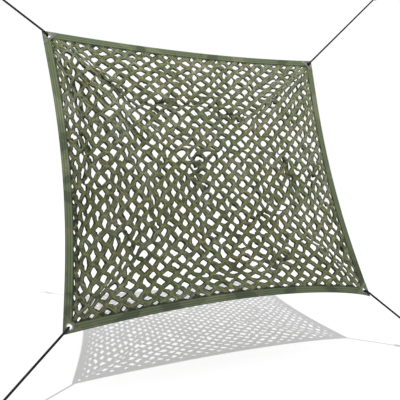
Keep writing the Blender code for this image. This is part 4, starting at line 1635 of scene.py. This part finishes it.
@dataclass
class CornerPatch:
    """A triangle of cloth sewn on the binding's corner, puffed between its seam and the eyelet."""

    sheet: HungSheet
    corner: Corner
    leg: float = 78 * MM
    inset: float = 1 * MM
    bottom: float = 2.35 * MM
    thickness: float = 1.0 * MM
    hole: float = 11.1 * MM
    puff: float = 0.9 * MM
    wrinkle: float = 0.45 * MM
    # each set of wrinkles: its size, how many there are in a full turn, its phase and its slant
    wrinkles: tuple[tuple[float, int, float, float], ...] = ((1.0, 9, 1.3, 0), (0.6, 17, 0.4, 60))
    flat_reach: float = 18.5 * MM
    puff_over: float = 9 * MM
    seam_in: float = 4 * MM
    seam_width: float = 1.6 * MM
    edge_roll: float = 1.2 * MM
    edge_share: float = 0.35
    corner_power: int = 14
    rays: int = 96
    rings: int = 14
    ring_power: float = 0.8

    def reach(self, angle: float) -> float:
        """How far the patch's outline is from the eyelet.

        Args:
            angle: the direction, from straight inwards along the net's width.

        Returns:
            The distance.
        """
        across, up = math.cos(angle), math.sin(angle)
        to_edge = self.sheet.eyelet_in - self.inset
        limits = [to_edge / -part for part in (across, up) if part < 0]
        if across + up > 0:
            limits.append((self.leg + self.inset - 2 * self.sheet.eyelet_in) / (across + up))
        return sum(limit ** -self.corner_power for limit in limits) ** (-1 / self.corner_power)

    def to_flat(self, angle: Array, distance: Array) -> tuple[Array, Array]:
        """Flat places by direction and distance from the eyelet."""
        inward = [self.sheet.eyelet_in + distance * share for share in (np.cos(angle), np.sin(angle))]
        return self.sheet.corner_point(self.corner, *inward)

    def surface(self, angle: Array, distance: Array, outline: Array) -> Array:
        """The patch's top, with its puff, its seam and its wrinkles.

        Args:
            angle: the direction from the eyelet.
            distance: the distance from the eyelet.
            outline: the outline's distance in that direction.

        Returns:
            The height above the sheet's middle.
        """
        free = smooth_step((distance - self.flat_reach) / self.puff_over)
        to_edge = np.clip(outline - distance, 0.0, None)
        seam = np.exp(-((to_edge - self.seam_in) / self.seam_width) ** 2)
        rolled = smooth_step(to_edge / self.edge_roll)
        folds = sum(size * np.sin(count * angle + phase + slant * distance)
                    for size, count, phase, slant in self.wrinkles)
        rise = self.puff * (1 - seam) + self.wrinkle * folds * (1 - seam)
        lift = self.edge_share + (1 - self.edge_share) * rolled
        return self.bottom + self.thickness * lift + free * rolled * rise

    def build(self, material: Material) -> Object:
        """Makes the patch.

        Args:
            material: the patch's finish.

        Returns:
            The patch's object.
        """
        angles = np.linspace(0, math.tau, self.rays, endpoint=False)
        outline = np.array([self.reach(angle) for angle in angles])
        rows = []
        for share in np.linspace(0.0, 1.0, self.rings) ** self.ring_power:
            distance = self.hole + (outline - self.hole) * share
            rows.append((distance, self.surface(angles, distance, outline)))
        for share in (1.0, 0.0):
            distance = self.hole + (outline - self.hole) * share
            rows.append((distance, np.full_like(distance, self.bottom)))
        flats = [np.column_stack([*self.to_flat(angles, distance), height]) for distance, height in rows]
        patch = add_mesh("corner_patch_cloth_" + self.corner.label, self.sheet.place_flat(np.vstack(flats)),
                         tube_faces(len(rows), self.rays, looped=True), material, "corner_patch")
        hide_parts("corner_patch_" + self.corner.label)
        return patch


@dataclass
class Eyelet:
    """A pressed eyelet: a rolled barrel over a flange with a ring pressed into it."""

    sheet: HungSheet
    corner: Corner
    bore: float = 10 * MM
    flange: float = 15.5 * MM
    front_seat: float = 3.65 * MM
    back_seat: float = 2.35 * MM
    rub: float = 0.95
    rub_in: float = 3.2 * MM
    rub_over: float = 1.2 * MM
    groove_darkening: float = 0.25
    groove_darkening_in: float = 2.05 * MM
    groove_darkening_width: float = 0.5 * MM
    steps: int = 72

    def profile(self) -> list[Pair]:
        """The eyelet's closed outline.

        Returns:
            Radius and height of each point, in millimetres.
        """
        front = self.front_seat / MM
        back = -self.back_seat / MM
        outer, bore = self.flange / MM, self.bore / MM
        return [
            (outer, front + 0.3), (outer - 0.2, front + 0.8), (outer - 0.8, front + 1.15),
            (outer - 1.4, front + 0.95), (outer - 1.8, front + 0.45), (outer - 2.3, front + 0.45),
            (outer - 2.7, front + 1.2), (outer - 3.3, front + 1.8), (outer - 4.1, front + 2.0),
            (outer - 4.8, front + 1.75), (bore + 0.25, front + 1.1), (bore, front),
            (bore, back + 0.2), (bore + 0.15, back - 0.9), (bore + 0.7, back - 1.6),
            (bore + 1.6, back - 2.0), (bore + 2.5, back - 1.7), (bore + 3.0, back - 1.1),
            (bore + 3.7, back - 0.8), (outer - 1.0, back - 0.9), (outer - 0.4, back - 0.7),
            (outer - 0.2, back - 0.2), (outer - 0.6, back), (bore + 0.8, back), (bore + 0.8, front),
            (outer - 0.5, front),
        ]

    def build(self, material: Material) -> Object:
        """Makes the eyelet.

        Args:
            material: the eyelet's finish.

        Returns:
            The eyelet's object.
        """
        profile = np.array(self.profile()) * MM
        angles = np.linspace(0, math.tau, self.steps, endpoint=False)
        centre = self.sheet.eyelet_centre(self.corner)
        hung = np.empty((self.steps, len(profile), 3))
        hung[:, :, 0] = centre.x + np.cos(angles)[:, None] * profile[None, :, 0]
        hung[:, :, 1] = centre.y + np.sin(angles)[:, None] * profile[None, :, 0]
        hung[:, :, 2] = profile[None, :, 1]
        rubbed = self.rub * smooth_step((self.flange - self.rub_in - profile[:, 0]) / self.rub_over)
        # darker in the flange's pressed groove
        rubbed -= self.groove_darkening * np.exp(-((profile[:, 0] - self.flange + self.groove_darkening_in) / self.groove_darkening_width) ** 2)
        eyelet = add_mesh("pressed_eyelet_" + self.corner.label, self.sheet.place(hung.reshape(-1, 3)),
                          tube_faces(self.steps, len(profile), looped=True), material, "eyelet_metal",
                          rubbed=np.tile(rubbed, self.steps))
        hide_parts("eyelet_" + self.corner.label)
        return eyelet


# ---- the ropes

@dataclass(frozen=True)
class Braid:
    """A braided cord's section, with its strands raised over and under each other."""

    radius: float = 5 * MM
    strands: int = 6
    pitch: float = 6.4 * MM
    relief: float = 0.75 * MM
    under: float = 0.45
    end_share: float = 0.72
    first_aside: Triple = (0.31, 0.82, 0.48)
    around: int = 36
    step: float = 1.35 * MM

    def resample(self, route: Array) -> Array:
        """Spreads a route's points evenly, about a step apart.

        Args:
            route: an (n, 3) array of points.

        Returns:
            The evenly spread points.
        """
        lengths = np.concatenate([[0.0], np.cumsum(np.linalg.norm(np.diff(route, axis=0), axis=1))])
        count = max(round(lengths[-1] / self.step), 4)
        wanted = np.linspace(0.0, lengths[-1], count + 1)
        return np.column_stack([np.interp(wanted, lengths, route[:, axis]) for axis in range(3)])

    def sweep(self, route: Array) -> tuple[Array, list]:
        """Sweeps the cord along a route, with closed ends.

        Args:
            route: an (n, 3) array of points.

        Returns:
            The mesh's points and faces.
        """
        path = self.resample(route)
        along = np.gradient(path, axis=0)
        along /= np.linalg.norm(along, axis=1)[:, None]
        start = np.cross(along[0], self.first_aside)
        normals = [start / np.linalg.norm(start)]
        for direction in along[1:]:
            normal = normals[-1] - direction * np.dot(normals[-1], direction)
            normals.append(normal / np.linalg.norm(normal))
        normals = np.array(normals)
        sides = np.cross(along, normals)
        run = np.concatenate([[0.0], np.cumsum(np.linalg.norm(np.diff(path, axis=0), axis=1))])
        angle = np.linspace(0, math.tau, self.around, endpoint=False)[None, :]
        turn = self.strands * angle
        climb = (math.tau / self.pitch * run)[:, None]
        over = 0.5 + 0.25 * (np.cos(turn) + np.cos(climb))
        first = np.cos((turn + climb) / 2) ** 2 * (self.under + (1 - self.under) * over)
        second = np.cos((turn - climb) / 2) ** 2 * (self.under + (1 - self.under) * (1 - over))
        reach = self.radius - self.relief * (1 - np.maximum(first, second))
        ends = np.ones(len(path))
        ends[[0, -1]] = self.end_share
        reach = reach * ends[:, None]
        points = (path[:, None, :] + reach[:, :, None] * (np.cos(angle)[:, :, None] * normals[:, None, :]
                                                          + np.sin(angle)[:, :, None] * sides[:, None, :]))
        return points.reshape(-1, 3), tube_faces(len(path), self.around, looped=False)

    def sweep_all(self, routes: list[Array]) -> tuple[Array, list]:
        """Sweeps several lengths of cord into one mesh.

        Args:
            routes: each length's route.

        Returns:
            The mesh's points and faces.
        """
        points, faces, first = [], [], 0
        for route in routes:
            more, their_faces = self.sweep(route)
            points.append(more)
            faces += [tuple(number + first for number in face) for face in their_faces]
            first += len(more)
        return np.vstack(points), faces


@dataclass
class CornerRope:
    """One corner's rope: a stopper knot behind the eyelet, the taut run, and a tied end loop."""

    sheet: HungSheet
    corner: Corner
    length: float
    braid: Braid = Braid()
    in_bore: float = 4.4 * MM
    bend: float = 8.5 * MM
    bend_height: float = 3.3 * MM
    foot: float = -4.35 * MM
    bend_steps: int = 14
    run_steps: int = 16
    stopper_height: float = 21 * MM
    stopper_radius: float = 10.2 * MM
    stopper_out: float = 11.0 * MM
    stopper_turns: float = 2.1
    stopper_tuck: Pair = (7, 0.3)
    stopper_points: int = 90
    stopper_tail: float = 15.6 * MM
    stopper_lean: Pair = (2 * MM, 5 * MM)
    stopper_tail_points: int = 6
    knot_length: float = 42 * MM
    knot_radius: float = 14.5 * MM
    knot_turns: float = 3.4
    knot_tuck: Pair = (12, 0.35)
    knot_points: int = 160
    loop_length: float = 70 * MM
    loop_bulge: float = 34 * MM
    loop_points: int = 49
    leg_spread: float = 5.3 * MM
    leg_lead: float = 4 * MM
    tail: float = 26 * MM
    tail_start: float = 6 * MM
    tail_side: float = 10.5 * MM
    tail_tuck: float = 0.6
    tail_points: int = 8
    tail_lean: Pair = (1.5 * MM, 2 * MM)

    def __post_init__(self) -> None:
        """Works out the rope's line on the hung sheet."""
        self.centre = self.sheet.eyelet_centre(self.corner)
        run = Vector((*self.corner.value[2], 0.0)) - self.centre
        self.outward = run.normalized()
        self.run_length = run.length
        self.aside = Vector((-self.outward.y, self.outward.x, 0.0))
        self.line_height = self.bend_height + self.bend

    def at(self, away: float, aside: float, height: float) -> list[float]:
        """A point by its distance from the eyelet along the rope, aside of it, and off the sheet."""
        return list(self.centre + self.outward * away + self.aside * aside + Vector((0, 0, height)))

    def rope_route(self) -> Array:
        """Up the outward side of the eyelet, over its rim, and straight out past the corner.

        Returns:
            An (n, 3) array of points in the frame of the solids.
        """
        route = [self.at(self.in_bore, 0.0, self.foot)]
        bend_out = self.in_bore + self.bend
        for step in range(self.bend_steps + 1):
            angle = step / self.bend_steps * math.pi / 2
            route.append(self.at(bend_out - self.bend * math.cos(angle), 0.0,
                                 self.bend * math.sin(angle) + self.bend_height))
        for step in range(1, self.run_steps + 1):
            away = bend_out + (self.run_length - bend_out) * step / self.run_steps
            route.append(self.at(away, 0.0, self.line_height))
        return self.sheet.place(np.array(route))

    def loop_route(self) -> Array:
        """A teardrop from the end knot's far face and back to it.

        Returns:
            An (n, 3) array of points in the frame of the solids.
        """
        start = self.run_length + self.knot_length + 2 * GAP
        route = [self.at(start, self.leg_spread, self.line_height)]
        for turn in np.linspace(0, math.tau, self.loop_points):
            away = self.leg_lead + self.loop_length / 2 * (1 - math.cos(turn))
            bulge = self.loop_bulge * math.sin(turn) * math.sin(turn / 2) ** 2
            aside = self.leg_spread * math.cos(turn / 2) + bulge
            route.append(self.at(start + away, aside, self.line_height))
        route.append(self.at(start, -self.leg_spread, self.line_height))
        return self.sheet.place(np.array(route))

    @staticmethod
    def coil(points: int, radius: float, turns: float, tuck: Pair) -> list[Triple]:
        """A knot's turns about its middle, with both ends tucked in.

        Args:
            points: how many points.
            radius: the distance of the turns from the middle.
            turns: how many turns.
            tuck: how fast the ends come out to the radius, and the share of it that they start at.

        Returns:
            For each point, its share of the way along and its two distances from the middle.
        """
        speed, least = tuck
        places = []
        for share in np.linspace(0.0, 1.0, points):
            out = smooth_step(np.array(share * speed)) * smooth_step(np.array((1 - share) * speed))
            distance = radius * (least + (1 - least) * float(out))
            angle = math.tau * turns * share
            places.append((share, distance * math.cos(angle), distance * math.sin(angle)))
        return places

    def knot_routes(self) -> list[Array]:
        """The end knot, tied about the rope and the loop's legs.

        Returns:
            The routes of its turns, its cut tail and its core.
        """
        radius = self.braid.radius
        low = self.run_length + GAP + radius
        high = self.run_length + GAP + self.knot_length - radius
        line = self.line_height
        turns = [self.at(low + (high - low) * share, aside, line + up) for share, aside, up in self.coil(
            self.knot_points, self.knot_radius - radius, self.knot_turns, self.knot_tuck)]
        tail = [self.at(high - self.tail_start, 0.0, line + self.tail_tuck * self.tail_side)]
        tail += [self.at(high + radius + self.tail * share, self.tail_lean[0] * share,
                         line + self.tail_side + self.tail_lean[1] * share ** 2)
                 for share in np.linspace(0.0, 1.0, self.tail_points)]
        core = [self.at(self.run_length - GAP, 0.0, line), self.at(high, 0.0, line)]
        return [self.sheet.place(np.array(route)) for route in (turns, tail, core)]

    def stopper_routes(self) -> list[Array]:
        """The stopper knot behind the eyelet.

        Returns:
            The routes of its turns, its core and its cut tail.
        """
        radius = self.braid.radius
        seat = self.foot - GAP
        top = seat - radius
        bottom = seat - self.stopper_height + radius
        out = self.stopper_out
        lean, aside_lean = self.stopper_lean
        turns = [self.at(out + away, aside, top + (bottom - top) * share) for share, away, aside in self.coil(
            self.stopper_points, self.stopper_radius - radius, self.stopper_turns, self.stopper_tuck)]
        core = [self.at(self.in_bore, 0.0, seat), self.at(out - lean, 0.0, top), self.at(out, 0.0, bottom)]
        tail = [self.at(out, 0.0, bottom + radius)]
        tail += [self.at(out + lean * share ** 2, aside_lean * share ** 2,
                         bottom - (radius + self.stopper_tail) * share)
                 for share in np.linspace(0.0, 1.0, self.stopper_tail_points)]
        return [self.sheet.place(np.array(route)) for route in (turns, core, tail)]

    def build(self, material: Material) -> list[Object]:
        """Args:
            material: the cord's finish.

        Returns:
            The rope, its loop and its two knots.
        """
        label = self.corner.label
        route = self.rope_route()
        pieces = {}
        for name, node, routes in (
            ("braided_rope_", "rope_", [route]),
            ("loop_of_rope_", "end_loop_", [self.loop_route()]),
            ("tied_end_knot_", "end_knot_", self.knot_routes()),
            ("tied_stopper_knot_", "stopper_knot_", self.stopper_routes()),
        ):
            points, faces = self.braid.sweep_all(routes)
            piece = add_mesh(name + label, points, faces, material, "rope")
            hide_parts(node + label)
            pieces[node] = piece
        return list(pieces.values())


# ---- light, floor and camera

@dataclass
class Studio:
    """A pale floor, soft light all round, one sun and the camera."""

    floor_height: float = -1.53
    floor_size: float = 14.0
    sky_strength: float = 0.82
    sun_strength: float = 2.35
    sun_travel: Triple = (0.07, 0.23, -0.294)
    sun_softness: float = math.radians(0.6)
    camera_place: Triple = (-1.0332, -2.4193, -0.6155)
    camera_heading: float = math.radians(-24.02)
    camera_pitch: float = math.radians(86.74)
    camera_roll: float = math.radians(0.24)
    lens: float = 44.98
    sensor: float = 36.0

    def build_camera(self) -> None:
        """Makes the camera and gives it to the scene."""
        data = bpy.data.cameras.new("camera")
        data.lens = self.lens
        data.sensor_width = self.sensor
        data.sensor_fit = "HORIZONTAL"
        camera = add_object("camera", data)
        turn = (Matrix.Rotation(self.camera_heading, 4, "Z") @ Matrix.Rotation(self.camera_pitch, 4, "X")
                @ Matrix.Rotation(self.camera_roll, 4, "Z"))
        camera.matrix_world = Matrix.Translation(self.camera_place) @ turn
        bpy.context.scene.camera = camera

    def build_floor(self) -> None:
        """Makes the floor, which isn't part of the net."""
        half = self.floor_size / 2
        mesh = bpy.data.meshes.new("studio_floor")
        mesh.from_pydata([(-half, -half, 0), (half, -half, 0), (half, half, 0), (-half, half, 0)], [],
                         [(0, 1, 2, 3)])
        mesh.materials.append(PaleFloor().build())
        floor = add_object("studio_floor", mesh)
        floor.location.z = self.floor_height

    def build_light(self) -> None:
        """Makes the soft surroundings, which are white where they are seen, and the sun."""
        world = bpy.data.worlds.new("studio")
        world.use_nodes = True
        seen = add_node(world.node_tree, "LightPath").outputs["Is Camera Ray"]
        strength = add_node(world.node_tree, "MapRange", {0: seen, 3: self.sky_strength, 4: 1.0})
        fill(world.node_tree.nodes["Background"], {"Color": (1.0, 1.0, 1.0, 1.0), "Strength": strength})
        bpy.context.scene.world = world
        data = bpy.data.lights.new("sun", "SUN")
        data.energy = self.sun_strength
        data.angle = self.sun_softness
        sun = add_object("sun", data)
        sun.rotation_euler = Vector(self.sun_travel).to_track_quat("-Z", "Y").to_euler()
        bpy.context.scene.view_settings.view_transform = "Standard"


def report(piece: Object) -> Object:
    """Logs a piece's name and its number of faces, and hands it on."""
    LOG.info("%s: %d faces", piece.name, len(piece.data.polygons))
    return piece


def main() -> None:
    """Builds the scene piece by piece."""
    logging.basicConfig(level=logging.INFO, format="%(name)s: %(message)s")
    studio = Studio()
    studio.build_camera()
    sheet = HungSheet()
    cord = BraidedCord().build()
    for corner, length in ((Corner.TL, 0.306), (Corner.TR, 0.894), (Corner.BL, 0.369), (Corner.BR, 0.292)):
        for piece in CornerRope(sheet, corner, length).build(cord):
            report(piece)
    cloth = PrintedCloth().build(sheet.lean)
    tape_cloth = WovenTape().build(sheet.lean)
    patch_cloth = PrintedCloth(name="coated_patch_cloth", olive="6b715c", pale="787d67", dark="586048",
                               left_level=(0.39, 0.432, 0.375), right_level=(0.52, 0.555, 0.505),
                               across=((0.0, 1.0), (1.4, 1.0)), roughness=0.7).build(sheet.lean)
    thread = WovenTape(name="polyester_thread", green="4a5640", olive="545a42",
                       dark="3c4a32").build(sheet.lean)
    metal = PressedAluminium().build()
    sewn_on = []
    for number, side in enumerate(Side):
        tape = BindingTape(sheet, side, seed=20 + number)
        sewn_on += [report(tape.build(tape_cloth)), report(tape.build_stitches(thread))]
    for corner in Corner:
        sewn_on.append(report(CornerPatch(sheet, corner).build(patch_cloth)))
        report(Eyelet(sheet, corner).build(metal))
    panel = report(NetPanel(sheet).build(cloth))
    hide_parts("net_panel")
    studio.build_floor()
    studio.build_light()


if __name__ == "__main__":
    main()
